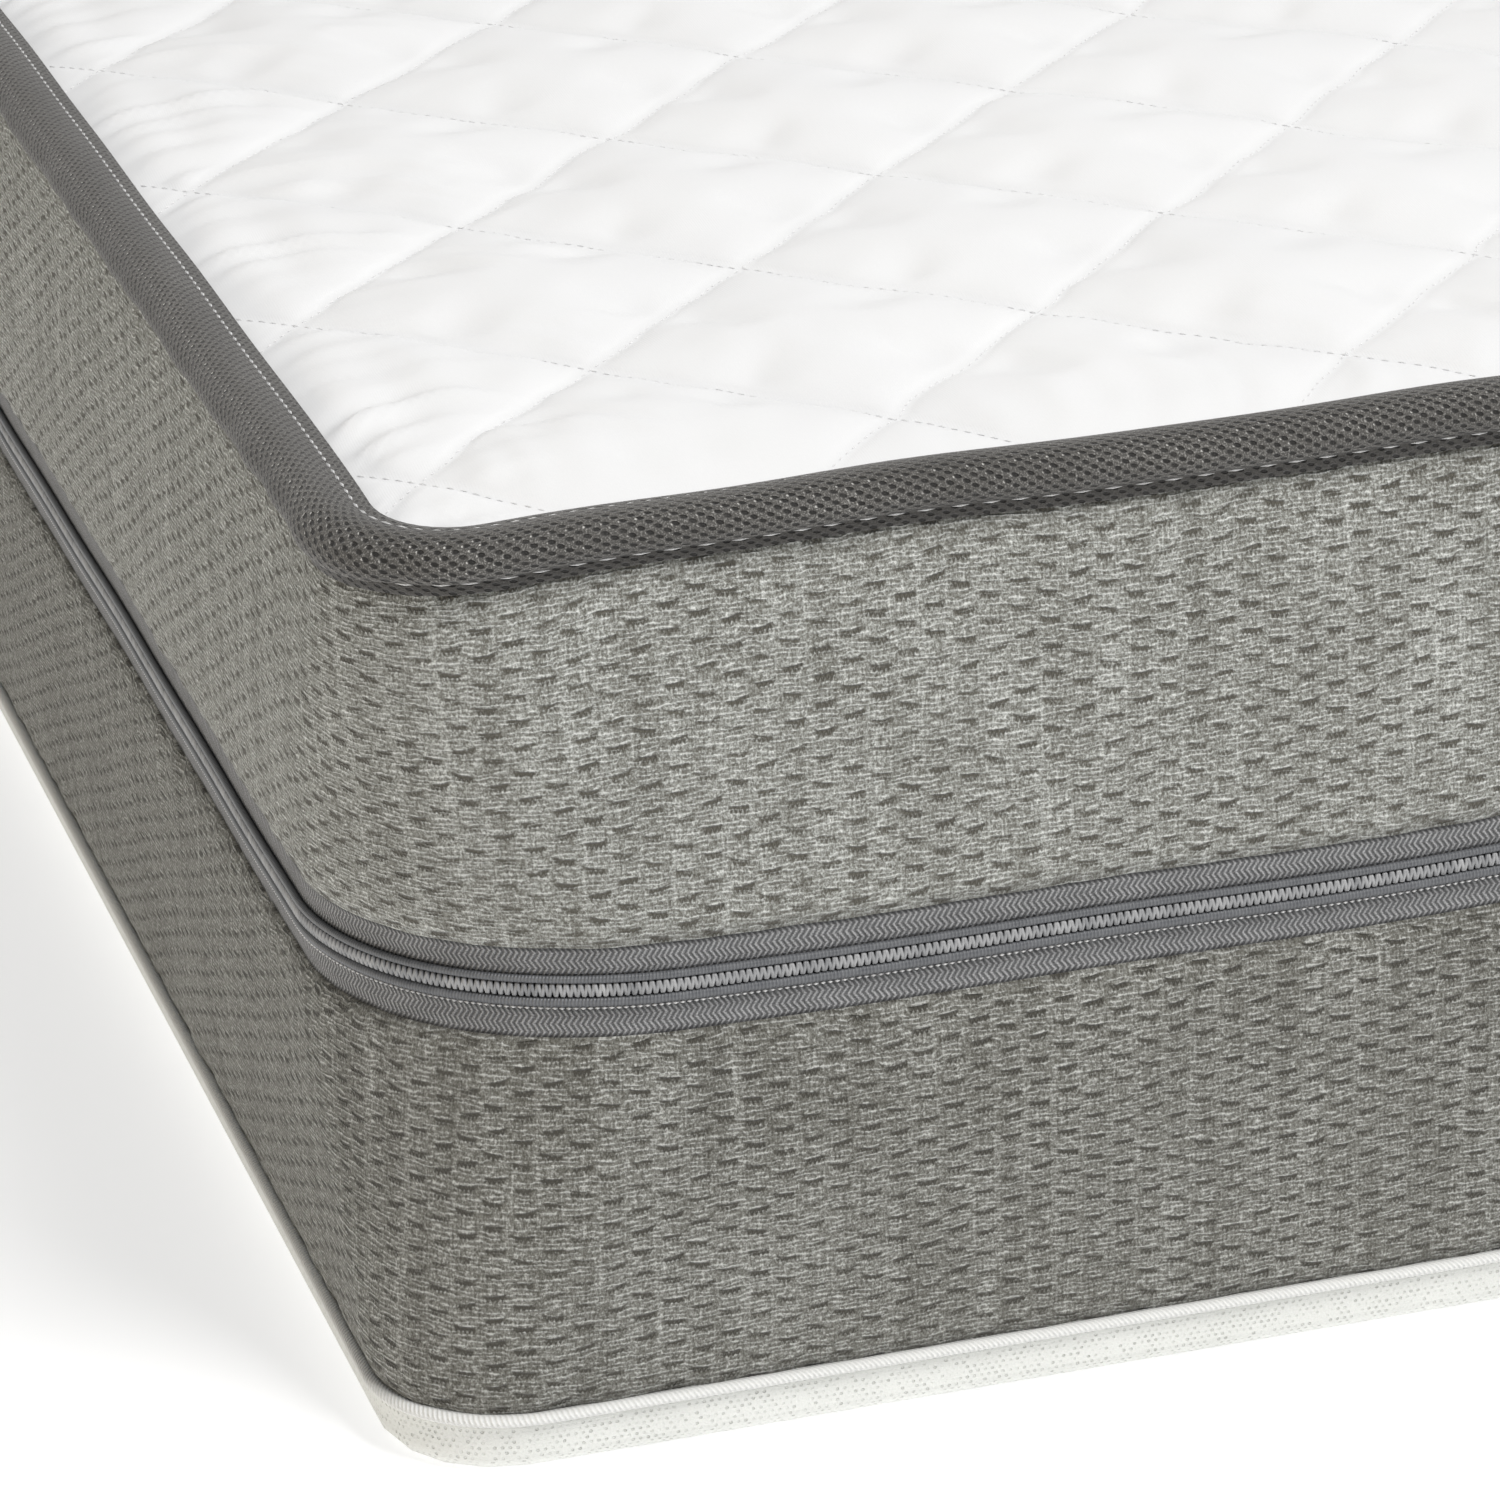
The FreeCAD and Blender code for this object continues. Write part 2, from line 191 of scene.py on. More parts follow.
def away_from_zip_ends(y):
    """Zero at the head end, where the slider runs, and one elsewhere."""
    return np.clip((LENGTH / 2 - y - 60.0) / 150.0, 0, 1)


# How far the top and the sides droop at the corners, and over what reach
TOP_DROOP, TOP_DROOP_REACH, TOP_END_REACH = 3.2, 105.0, 28.0
SIDE_DROOP, SIDE_DROOP_REACH = 2.5, 48.0

# How far the zip, the top and the sides wander
ZIP_WAVE, ZIP_WAVE_REACH = 0.66, 38.0
TOP_WAVE = 0.5
SIDE_WAVE = 1.3


def settle(points):
    """Moves points the way the soft mattress has settled: corners droop, seams wander, sides swell."""
    x, y, z = points[..., 0], points[..., 1], points[..., 2]
    free = away_from_zip_ends(y)
    upper = np.clip((z - ZIP_LEVEL - 12.0) / (HEIGHT - ZIP_LEVEL), 0, 1)
    to_end = LENGTH / 2 - np.abs(y)
    corner = np.hypot(WIDTH / 2 - np.abs(x), to_end)
    top_droop = TOP_DROOP * np.exp(-(corner / TOP_DROOP_REACH) ** 1.5 - (to_end / TOP_END_REACH) ** 2)
    side_droop = SIDE_DROOP * np.exp(-(corner / SIDE_DROOP_REACH) ** 3) * upper
    within = np.clip((inside_distance(x, y, 0.0, 30.0) - 5.0) / 12.0, 0, 1)
    at_top = within * upper + (1 - within) * np.clip((z - 192.0) / 8.0, 0, 1)
    near_zip = np.exp(-((z - ZIP_LEVEL) / ZIP_WAVE_REACH) ** 2)
    rise = ZIP_WAVE * waves(x, y, 90, 420, 5) * near_zip * free + TOP_WAVE * waves(x, y, 60, 300, 6) * upper
    belly = sum(np.sin(np.clip((z - low) / (high - low), 0, 1) * math.pi)
                for low, high in ((HEM_TOP, LOWER_KNIT_TOP), (UPPER_KNIT_BOTTOM, UPPER_KNIT_TOP)))
    swell = SIDE_WAVE * belly * (0.9 + 0.6 * waves(x, y + z, 70, 260, 7)) * (0.35 + 0.65 * free)
    moved = points.copy()
    for axis, straight in ((0, HALF_X), (1, HALF_Y)):
        place_on_axis = points[..., axis]
        outward = np.clip((np.abs(place_on_axis) - straight) / PATCH, 0, 1.2) * np.sign(place_on_axis)
        moved[..., axis] += outward * swell
    moved[..., 2] += rise - (top_droop * at_top + side_droop * (1 - at_top))
    return moved


# Making meshes

def add_object(name, data):
    made = bpy.data.objects.new(name, data)
    bpy.context.scene.collection.objects.link(made)
    return made


def new_piece(name, points, faces, body, material, uv=None, smooth=True):
    """One piece from points in millimetres and faces. It stands for the CAD node of that name."""
    mesh = bpy.data.meshes.new("shown_" + name)
    mesh.from_pydata((np.asarray(points) * MM).tolist(), [], [list(map(int, f)) for f in faces])
    if uv is not None:
        layer = mesh.uv_layers.new(name="fabric")
        layer.data.foreach_set("uv", (np.asarray(uv, float) * MM).ravel())
    mesh.polygons.foreach_set("use_smooth", [smooth] * len(mesh.polygons))
    mesh.materials.append(material)
    mesh.validate()
    mesh.update()
    piece = add_object("shown_" + name, mesh)
    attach(piece, body)
    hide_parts(name)
    return piece


def grid_faces(rows, columns, close_rows=False, close_columns=True):
    """Quads over a grid of points numbered row by row."""
    i = np.arange(rows if close_rows else rows - 1)
    j = np.arange(columns if close_columns else columns - 1)
    i, j = np.meshgrid(i, j, indexing="ij")
    after_i, after_j = (i + 1) % rows, (j + 1) % columns
    corners = (i * columns + j, after_i * columns + j, after_i * columns + after_j, i * columns + after_j)
    return np.stack(corners, -1).reshape(-1, 4)


def shell_faces(quads, count):
    """A closed shell: quads, the same quads turned over for count more points, and walls round the edge."""
    edges = np.concatenate([np.stack([quads[:, k], quads[:, (k + 1) % 4]], -1) for k in range(4)])
    keys = edges[:, 0] * count + edges[:, 1]
    rim = edges[~np.isin(keys, edges[:, 1] * count + edges[:, 0])]
    walls = np.stack([rim[:, 0], rim[:, 0] + count, rim[:, 1] + count, rim[:, 1]], -1)
    return np.concatenate([quads, quads[:, ::-1] + count, walls])


def round_places(numbers, places, end):
    """Places of face corners round the side, where the last faces end on the first numbers again."""
    again = (numbers == 0) & (numbers.max(axis=1, keepdims=True) > 1)
    return np.where(again, end, places[numbers])


def with_height(plan, z):
    return np.concatenate([plan, np.broadcast_to(z, plan.shape[:-1])[..., None]], axis=-1)


def sweep(section, spacing, start=0.0, end=None, shift=None):
    """Carries a closed section round the side: rows of height, outward, distance along it.

    Returns points, faces and a texture coordinate for each face corner."""
    closed = end is None
    run = PERIMETER if closed else end - start
    count = max(8, int(round(run / spacing)))
    stations = start + np.arange(count + (not closed)) * run / count
    section = np.asarray(section, float)
    z, out, along = section.T
    s, z, out = np.broadcast_arrays(stations[:, None], z, out)
    if shift is not None:
        rise, push = shift(s, z, out)
        z, out = z + rise, out + push
    points = place(s, z, out)
    faces = grid_faces(len(stations), len(section), close_rows=closed)
    row, column = faces // len(section), faces % len(section)
    around = round_places(row, stations, PERIMETER) if closed else stations[row]
    uv = np.stack([around, along[column]], -1).reshape(-1, 2).tolist()
    faces = faces.tolist()
    if not closed:
        ring = np.arange(len(section))
        for station, cap in ((0, ring[::-1]), (len(stations) - 1, ring)):
            faces.append((station * len(section) + cap).tolist())
            uv += [[stations[station], along[j]] for j in cap]
    return points.reshape(-1, 3), faces, uv


def layer_section(low, high, out, thickness, step=4.0, inner_step=12.0):
    """Section of a fabric layer: up its outer face and down its inner one."""
    up = np.linspace(low, high, max(2, int(round((high - low) / step))) + 1)
    down = np.linspace(high, low, max(2, int(round((high - low) / inner_step))) + 1)
    outer = [(z, out, z) for z in up]
    inner = [(z, out - thickness, z) for z in down]
    return outer + inner


def ring_piece(name, section, spacing, body, slot, material, start=0.0, end=None, **how):
    points, faces, uv = sweep(section, spacing, start, end, **how)
    return new_piece(name, settle(points), faces, body, material, uv)


# Materials

# Values of the across coordinate that mark the zip's teeth and the lower half's stitches, which get a painted
# highlight
TOOTH_MARK = 20.0
THREAD_MARK = 40.0


def math_method(operation, turned=False):
    """A method that does a sum with its field first or, when turned, last."""
    def method(self, *others):
        return self.paint.calc(operation, *((*others, self) if turned else (self, *others)))
    return method


class Field:
    """A number that varies over a surface, with the arithmetic that patterns need."""

    def __init__(self, paint, socket):
        self.paint, self.socket = paint, socket

    __add__ = __radd__ = math_method("ADD")
    __mul__ = __rmul__ = math_method("MULTIPLY")
    __sub__ = math_method("SUBTRACT")
    __rsub__ = math_method("SUBTRACT", turned=True)
    __truediv__ = math_method("DIVIDE")
    floor = math_method("FLOOR")
    fract = math_method("FRACT")
    size = math_method("ABSOLUTE")

    def wave(self):
        """0 to 1 and back for each whole step."""
        return self.paint.calc("SINE", self * (2 * math.pi)) * 0.5 + 0.5

    def step(self, low, high, start=0.0, end=1.0):
        """Smooth step from start, at low, to end, at high."""
        made = self.paint.node("ShaderNodeMapRange", enumerate((self, low, high, start, end)),
                               interpolation_type="SMOOTHSTEP")
        return Field(self.paint, made[0])


class Paint:
    """One procedural material. Its coordinates are in millimetres."""

    def __init__(self, name):
        self.material = bpy.data.materials.new(name)
        self.material.use_nodes = True
        self.tree = self.material.node_tree
        self.shader = self.tree.nodes["Principled BSDF"]

    def feed(self, socket, value):
        value = getattr(value, "socket", value)
        if isinstance(value, bpy.types.NodeSocket):
            self.tree.links.new(value, socket)
        else:
            socket.default_value = value

    def node(self, kind, inputs=(), **settings):
        """Outputs of a new node. Its inputs come as pairs of a number or name and a value."""
        made = self.tree.nodes.new(kind)
        for key, value in settings.items():
            setattr(made, key, value)
        for key, value in inputs:
            self.feed(made.inputs[key], value)
        return made.outputs

    def calc(self, operation, *values):
        return Field(self, self.node("ShaderNodeMath", enumerate(values), operation=operation)[0])

    def split(self, vector):
        inputs = (0, vector), ("Scale", 1 / MM)
        scaled = self.node("ShaderNodeVectorMath", inputs, operation="SCALE")[0]
        return [Field(self, socket) for socket in self.node("ShaderNodeSeparateXYZ", [(0, scaled)])]

    def fabric(self):
        """Distance along the piece and across it."""
        return self.split(self.node("ShaderNodeUVMap", uv_map="fabric")[0])[:2]

    def position(self):
        return self.split(self.node("ShaderNodeTexCoord")["Object"])

    def texture(self, kind, where, inputs=(), **settings):
        """First output of a texture at a place, given as two or three numbers."""
        where = self.node("ShaderNodeCombineXYZ", enumerate(where))[0]
        return Field(self, self.node(kind, [("Vector", where), *inputs], **settings)[0])

    def noise(self, x, y, z=0.0, detail=2.0, rough=0.5):
        """Noise about 0.5, with features about one unit across."""
        inputs = ("Scale", 1.0), ("Detail", detail), ("Roughness", rough)
        return self.texture("ShaderNodeTexNoise", (x, y, z), inputs)

    def chance(self, x, y):
        """One random number for each pair of whole numbers."""
        return self.texture("ShaderNodeTexWhiteNoise", (x, y), noise_dimensions="2D")

    def staggered(self, u, v, width, height):
        """Cells in half-dropped rows: the place in a cell each way, from its middle, and the cell's luck."""
        row = (v / height).floor()
        along = u / width + (row / 2).fract()
        return along.fract() - 0.5, (v / height).fract() - 0.5, self.chance(along.floor(), row)

    def ramp(self, field, stops):
        """Base colour by the value of a field."""
        colour = self.node("ShaderNodeValToRGB", [(0, field)])[0]
        elements = colour.node.color_ramp.elements
        while len(elements) < len(stops):
            elements.new(0.5)
        for element, (at, shade) in zip(elements, stops):
            element.position = at
            element.color = (*shade, 1)
        self.feed(self.shader.inputs["Base Color"], colour)

    def relief(self, field, depth):
        """Bump of that depth in millimetres between a field of 0 and of 1."""
        bump = self.node("ShaderNodeBump", (("Distance", depth * MM), ("Height", field)))[0]
        self.feed(self.shader.inputs["Normal"], bump)

    def finish(self, **values):
        """The material, with these inputs of its shader."""
        for name, value in values.items():
            self.feed(self.shader.inputs[name.replace("_", " ")], value)
        return self.material


DASH_PITCH = PERIMETER / round(PERIMETER / 5.98)
COURSE_PITCH = 1.05


def knit_paint(name, row_pitch, stops, dash_painted_shade):
    """Heathered knit: thin broken courses with half-dropped columns of short sunk dashes, darkened with painted
    shade and edged with a painted highlight.
    """
    paint = Paint(name)
    u, v = paint.fabric()
    wander_u = (paint.noise(u / 38, v / 38, 3.0) - 0.5) * 2.6
    wander_v = (paint.noise(u / 55, v / 60, 9.0) - 0.5) * 3.2
    squiggle = (paint.noise(u / 5.5, v / 4.0, 1.0, detail=1.0) - 0.5) * 2.0
    squiggle = squiggle + (paint.noise(u / 0.7, v / 1.2, 2.0) - 0.5) * 0.6
    across = u + wander_u
    up = v + wander_v
    line = ((up + squiggle) / COURSE_PITCH).wave()
    broken = paint.noise(u / 3.2, v / 1.2, 17.0).step(0.36, 0.60, 0.1, 1.0)
    course = line * line * broken
    wale = (across / 0.92 + (paint.noise(u / 6, v / 14, 12.0) - 0.5) * 1.5).wave()
    loops = paint.noise(across / 0.40, up / 0.55, 5.0, detail=2.5, rough=0.7) - 0.5
    grain = paint.noise(across / 1.0, up / 1.3, 7.0) - 0.5
    column = (across / DASH_PITCH).floor()
    row = up / row_pitch + (column / 2).fract() + paint.chance(column, 0.0) * 0.16
    luck = paint.chance(column, row.floor())
    other_luck = paint.chance(row.floor(), column) - 0.5
    in_column = (across / DASH_PITCH).fract() - 0.5 + other_luck * 0.16
    strokes = (across / 0.95 + luck).wave()
    in_row = row.fract() + other_luck * in_column * 0.5 - in_column * in_column * 0.35
    wide = in_column.size().step(0.23, 0.44, 1.0, 0.0)
    tall = (in_row - strokes * 0.13).step(0.47, 0.62) * in_row.step(0.76, 0.84, 1.0, 0.0)
    clarity = paint.noise(u / 24, v / 26, 14.0).step(0.30, 0.60, 0.55, 1.0)
    dash = wide * tall * (luck * 0.45 + 0.5) * (strokes * 0.35 + 0.65) * clarity
    # Painted highlight: a light line along the lip above each dash, which also raises the bump.
    lit_lip = wide * in_row.step(0.78, 0.84) * in_row.step(0.90, 0.98, 1.0, 0.0) * clarity
    streaks = paint.noise(across / 5.5, up / 60, 21.0, detail=2.5, rough=0.55) - 0.5
    patches = paint.noise(u / 42, v / 30, 31.0) - 0.5
    threads = paint.noise(across / 1.6, up / 24, 25.0).step(0.58, 0.74) - 0.15
    light = (course - 0.25) * 0.44 + (wale - 0.5) * 0.05 + loops * 1.5 + grain * 1.0 + threads * 0.14
    light = light + streaks * 0.42 + patches * 0.14
    # The sunk dashes are darkened in colour: painted shade in their hollows.
    paint.ramp(light + lit_lip * 0.10 - dash * dash_painted_shade + 0.5, stops)
    paint.relief(course * 0.5 + wale * 0.1 + loops * 0.5 + grain * 0.3 + lit_lip * 0.3 - dash * 1.0, 0.75)
    return paint.finish(Roughness=0.92, Sheen_Weight=0.15, Sheen_Roughness=0.6)


UPPER_SHADES = (
    (0.04, (0.090, 0.084, 0.066)), (0.32, (0.190, 0.188, 0.165)),
    (0.56, (0.360, 0.367, 0.341)), (0.92, (0.76, 0.77, 0.74)),
)
# The lower knit is the upper knit's fabric given darker stops: painted shade for the lower side getting less
# light.
LOWER_STOPS_IN_PAINTED_SHADE = (
    (0.04, (0.056, 0.052, 0.040)), (0.32, (0.130, 0.127, 0.108)),
    (0.56, (0.245, 0.245, 0.222)), (0.92, (0.60, 0.605, 0.575)),
)


def binding_paint():
    """Grey air mesh tape: staggered small holes between yarns, with painted glints beside the holes and painted
    shade on the flange under the roll.
    """
    paint = Paint("grey_mesh")
    u, v = paint.fabric()
    u = u + (paint.noise(u / 30, v / 30, 2.0) - 0.5) * 1.2
    in_cell, in_row, luck = paint.staggered(u, v, 3.3, 1.12)
    slant = in_cell * 4.4 + in_row * 0.8
    hole = (slant * slant + in_row * in_row * 5.0).step(0.36, 1.28, 1.0, 0.0) * (luck * 0.4 + 0.6)
    hole = hole * v.step(15.0, 18.0, 1.0, 0.55)
    # Painted highlight: small light glints beside the holes, strongest along one row on the roll's face.
    spark = in_cell * 5.5 + 1.1
    glint = (spark * spark + in_row * in_row * 4.0).step(0.05, 0.40, 1.0, 0.0)
    glint = glint * (luck * luck * 0.75 + v.step(12.9, 13.2) * v.step(14.1, 14.4, 0.45, 0.0))
    glint = glint * v.step(6.0, 9.0) * v.step(15.0, 17.0, 1.0, 0.0)
    yarn = paint.noise(u / 0.35, v / 0.45, 4.0, rough=0.65) - 0.5
    drift = paint.noise(u / 45, v / 12, 8.0) - 0.5
    # Painted shade: the flange and the roll's underside are darkened where the roll shades them.
    painted_shade_under_roll = v.step(2.6, 5.6, -0.12, 0.0)
    light = 0.49 - hole * 0.61 + yarn * 0.85 + drift * 0.12 + glint * 0.60 + painted_shade_under_roll
    paint.ramp(light, ((0.05, (0.009, 0.008, 0.007)), (0.32, (0.050, 0.047, 0.043)),
                       (0.50, (0.077, 0.073, 0.067)), (0.95, (0.66, 0.65, 0.62))))
    paint.relief(yarn * 0.5 - hole, 0.45)
    return paint.finish(Roughness=0.62, Specular_IOR_Level=0.35, Sheen_Weight=0.2, Sheen_Roughness=0.5)


def quilt_paint():
    """Smooth white top fabric, with a fine weave and faint drifts of shade."""
    paint = Paint("white_knit")
    x, y, _ = paint.position()
    weave = (x / 0.55).wave() * (y / 0.55).wave()
    drift = paint.noise(x / 60, y / 60, 0.0)
    flecks = paint.noise(x / 0.8, y / 0.8, 2.0)
    paint.ramp(drift * 0.5 + flecks * 0.3 + weave * 0.1,
               ((0.1, (0.83, 0.835, 0.845)), (0.9, (0.90, 0.905, 0.91))))
    paint.relief(weave * 0.5 + flecks * 0.5, 0.035)
    return paint.finish(Roughness=0.6, Specular_IOR_Level=0.35, Sheen_Weight=0.1)


def white_mesh_paint():
    """White air mesh of the bottom panel, with rows of faint pin holes."""
    paint = Paint("white_mesh")
    u, v = paint.fabric()
    in_cell, in_row, luck = paint.staggered(u, v, 1.55, 1.25)
    hole = (in_cell * in_cell * 1.5 + in_row * in_row).step(0.02, 0.10, 1.0, 0.0) * luck
    cloud = paint.noise(u / 26, v / 14, 3.0)
    yarn = paint.noise(u / 0.5, v / 0.4, 6.0)
    paint.ramp(0.55 - hole * 0.34 + (yarn - 0.5) * 0.5 + (cloud - 0.5) * 0.4,
               ((0.1, (0.56, 0.57, 0.53)), (0.5, (0.77, 0.78, 0.75)), (0.9, (0.90, 0.905, 0.88))))
    paint.relief(yarn * 0.4 - hole, 0.3)
    return paint.finish(Roughness=0.8)


def hem_paint():
    paint = Paint("white_hem")
    u, v = paint.fabric()
    cord = (u / 1.1 + v / 1.6).wave()
    yarn = paint.noise(u / 0.5, v / 0.4, 2.0)
    paint.ramp(cord * 0.35 + yarn * 0.5, ((0.1, (0.66, 0.67, 0.65)), (0.7, (0.88, 0.88, 0.87))))
    paint.relief(cord * 0.6 + yarn * 0.4, 0.3)
    return paint.finish(Roughness=0.8)


def tape_paint():
    """Herringbone zip tape, with painted shade along its two seams and beside the coil."""
    paint = Paint("zip_tape")
    u, v = paint.fabric()
    u = u + (paint.noise(u / 6, v / 6, 1.0) - 0.5) * 0.5
    height = v - ZIP_LEVEL
    chevron = (height / 3.4).fract() - 0.5
    twill = (u / 1.25 + chevron.size() * 1.9).wave()
    yarn = paint.noise(u / 0.3, v / 0.3, 3.0, rough=0.6) - 0.5
    wear = paint.noise(u / 9, v / 2.5, 8.0) - 0.5
    distance = height.size()
    # Painted shade: a dark band at each seam with the knit, and a dark band beside the coil.
    shade = distance.step(8.6, 9.5, 0.0, -0.34) + distance.step(3.6, 4.6, -0.22, 0.0)
    paint.ramp(twill * 0.46 + yarn * 1.15 + wear * 0.2 + 0.30 + shade,
               ((0.1, (0.045, 0.045, 0.047)), (0.5, (0.150, 0.152, 0.155)), (0.95, (0.50, 0.50, 0.51))))
    paint.relief(twill * 0.7 + yarn * 0.3, 0.35)
    return paint.finish(Roughness=0.75)


def coil_paint():
    """Nylon coil with fine ribs. Its teeth, and lighter still the lower half's marked stitches, carry a painted
    highlight.
    """
    paint = Paint("zip_coil")
    u, v = paint.fabric()
    ribs = (u / 0.75).wave()
    wear = paint.noise(u / 3, v / 1.2, 2.0, detail=3.0)
    # Painted highlight: the teeth and the lower half's stitches are made lighter; the upper half's stitches,
    # the same thread, are not.
    kind = v.step(TOOTH_MARK - 5, TOOTH_MARK - 4) * 0.24 + v.step(THREAD_MARK - 5, THREAD_MARK - 4) * 0.24
    paint.ramp(ribs * 0.12 + wear * 0.25 + kind,
               ((0.08, (0.070, 0.075, 0.085)), (0.36, (0.20, 0.205, 0.215)), (0.72, (0.84, 0.84, 0.84))))
    paint.relief(ribs, 0.12)
    return paint.finish(Roughness=wear * 0.25 + 0.3, Specular_IOR_Level=0.6)


def thread_paint(name, dark, bright):
    """Twisted sewing thread."""
    paint = Paint(name)
    x, y, z = paint.position()
    twist = ((x + y + z) / 0.5).wave()
    drift = paint.noise(x / 9, y / 9, z / 9)
    paint.ramp(twist * 0.4 + drift * 0.5, ((0.1, dark), (0.8, bright)))
    paint.relief(twist, 0.08)
    return paint.finish(Roughness=0.6)


def foam_paint(name, dark, bright, cell, depth):
    """Open-cell foam: small pores over soft drifts of colour."""
    paint = Paint(name)
    x, y, z = paint.position()
    pores = paint.texture("ShaderNodeTexVoronoi", (x, y, z), [("Scale", 1 / cell)])
    fine = paint.noise(x / 0.8, y / 0.8, z / 0.8, detail=3.0, rough=0.7)
    drift = paint.noise(x / 90, y / 90, z / 40)
    paint.ramp(pores * 0.45 + fine * 0.3 + drift * 0.3, ((0.2, dark), (0.8, bright)))
    paint.relief(pores * 0.7 + fine * 0.3, depth)
    return paint.finish(Roughness=0.95, Sheen_Weight=0.1)


def sock_paint():
    """Thin ribbed knit sleeve."""
    paint = Paint("sock_knit")
    u, v = paint.fabric()
    ribs = (u / 2.6).wave()
    courses = (v / 1.5 + ribs * 0.3).wave()
    yarn = paint.noise(u / 0.6, v / 0.6, 2.0, detail=3.0)
    drift = paint.noise(u / 70, v / 70, 5.0)
    paint.ramp(ribs * 0.25 + courses * 0.15 + yarn * 0.3 + drift * 0.3,
               ((0.15, (0.55, 0.54, 0.50)), (0.8, (0.83, 0.82, 0.78))))
    paint.relief(ribs * 0.6 + courses * 0.25 + yarn * 0.2, 0.6)
    return paint.finish(Roughness=0.9, Sheen_Weight=0.15)


def cloth_paint(name, dark, bright, pitch, depth):
    """Plain woven or non-woven cloth."""
    paint = Paint(name)
    x, y, z = paint.position()
    weave = ((x + z) / pitch).wave() * ((y + z) / pitch).wave()
    fibres = paint.noise(x / 1.4, y / 1.4, z / 1.4, detail=4.0, rough=0.7)
    drift = paint.noise(x / 50, y / 50, z / 50)
    paint.ramp(weave * 0.2 + fibres * 0.45 + drift * 0.3, ((0.2, dark), (0.8, bright)))
    paint.relief(weave * 0.5 + fibres * 0.5, depth)
    return paint.finish(Roughness=0.9)


def metal_paint():
    """Die-cast zinc with a worn dark plating."""
    paint = Paint("zip_metal")
    x, y, z = paint.position()
    wear = paint.noise(x / 2.5, y / 2.5, z / 2.5, detail=4.0, rough=0.6)
    scratches = paint.noise(x / 6, y / 0.4, z / 0.4)
    paint.ramp(wear * 0.6 + scratches * 0.4, ((0.3, (0.10, 0.10, 0.105)), (0.7, (0.34, 0.34, 0.35))))
    paint.relief(scratches * 0.6 + wear * 0.4, 0.04)
    return paint.finish(Roughness=scratches * 0.25 + 0.25, Metallic=1.0)


# The quilted top

CELL_STEPS = 32
SIM_STEPS = 8
SLIVER = 0.02
PUFF_FRAMES = 20
PUFF_LIMIT = 1.8
PUFF_EDGE = 5.0
WADDING_BELOW = 2.4
BACKING = 0.5
UNDERSIDE_LEVEL = bottom_of("top_backing")
CELL_CROWDING = 0.15


def quilt_axis(steps):
    """Places across the quilting cells, closer together beside the stitch lines."""
    share = np.arange(steps) / steps
    share = (1 - CELL_CROWDING) * share + CELL_CROWDING * (1 - np.cos(math.pi * share)) / 2
    return np.append((np.arange(-QUILT_REACH, QUILT_REACH)[:, None] + share).ravel(), QUILT_REACH)


def quilt_plan(p, q):
    """Plan position of quilting coordinates: every whole p and every whole q is a stitch line."""
    x = QUILT_CROSSING[0] + QUILT_HALF[0] * (p + q)
    y = QUILT_CROSSING[1] + QUILT_HALF[1] * (p - q)
    return x, y


def quilt_coordinates(x, y):
    across = (x - QUILT_CROSSING[0]) / QUILT_HALF[0]
    along = (y - QUILT_CROSSING[1]) / QUILT_HALF[1]
    return (across + along) / 2, (across - along) / 2


def to_stitches(x, y):
    """Distance from a place to the nearest stitch line of each direction."""
    return tuple(np.abs(a - np.round(a)) * QUILT_PITCH for a in quilt_coordinates(x, y))


def inside_distance(x, y, inset, radius):
    """How far a place is inside a rectangle with round corners."""
    across = np.abs(x) - (WIDTH / 2 - inset - radius)
    along = np.abs(y) - (LENGTH / 2 - inset - radius)
    outside = np.hypot(np.clip(across, 0, None), np.clip(along, 0, None))
    return radius - outside - np.clip(np.maximum(across, along), None, 0)


PANEL_INSET = 9.8
PANEL_RADIUS = 20.0
PANEL_EDGE_LEVEL = HEIGHT - 3.6
STITCH_LEVEL = HEIGHT - 2.1
PILLOW, PILLOW_REACH = 1.4375, 10.0
GROOVE, GROOVE_REACH = 0.75, 1.3


def panel_depth(x, y):
    return inside_distance(x, y, PANEL_INSET, PANEL_RADIUS)


# Wrinkles: heights at each edge, where and how much they bow, how far they wander and reach, lengths and phases
GATHER_LEFT, GATHER_RIGHT, GATHER_END = 1.0, 0.75, 0.42
GATHER_APEX, GATHER_BOW = 40.0, 0.012
GATHER_WANDER = 2.0
GATHER_REACH = 66.0
GATHER_RIDGES = ((14.5, 0.0), (11.8, 1.9), (20.0, 4.1))


def panel_level(x, y):
    """Height of the quilted panel before its wrinkles."""
    to_p, to_q = to_stitches(x, y)
    pillow = PILLOW * (1 - np.exp(-to_p / PILLOW_REACH)) * (1 - np.exp(-to_q / PILLOW_REACH))
    groove = GROOVE * (1 - np.exp(-to_p / GROOVE_REACH)) * (1 - np.exp(-to_q / GROOVE_REACH))
    edge = np.clip(panel_depth(x, y) - 3.4, 0, None)
    rise = 1 - np.exp(-edge / 8.0)
    return PANEL_EDGE_LEVEL + (STITCH_LEVEL - PANEL_EDGE_LEVEL + pillow + groove) * rise


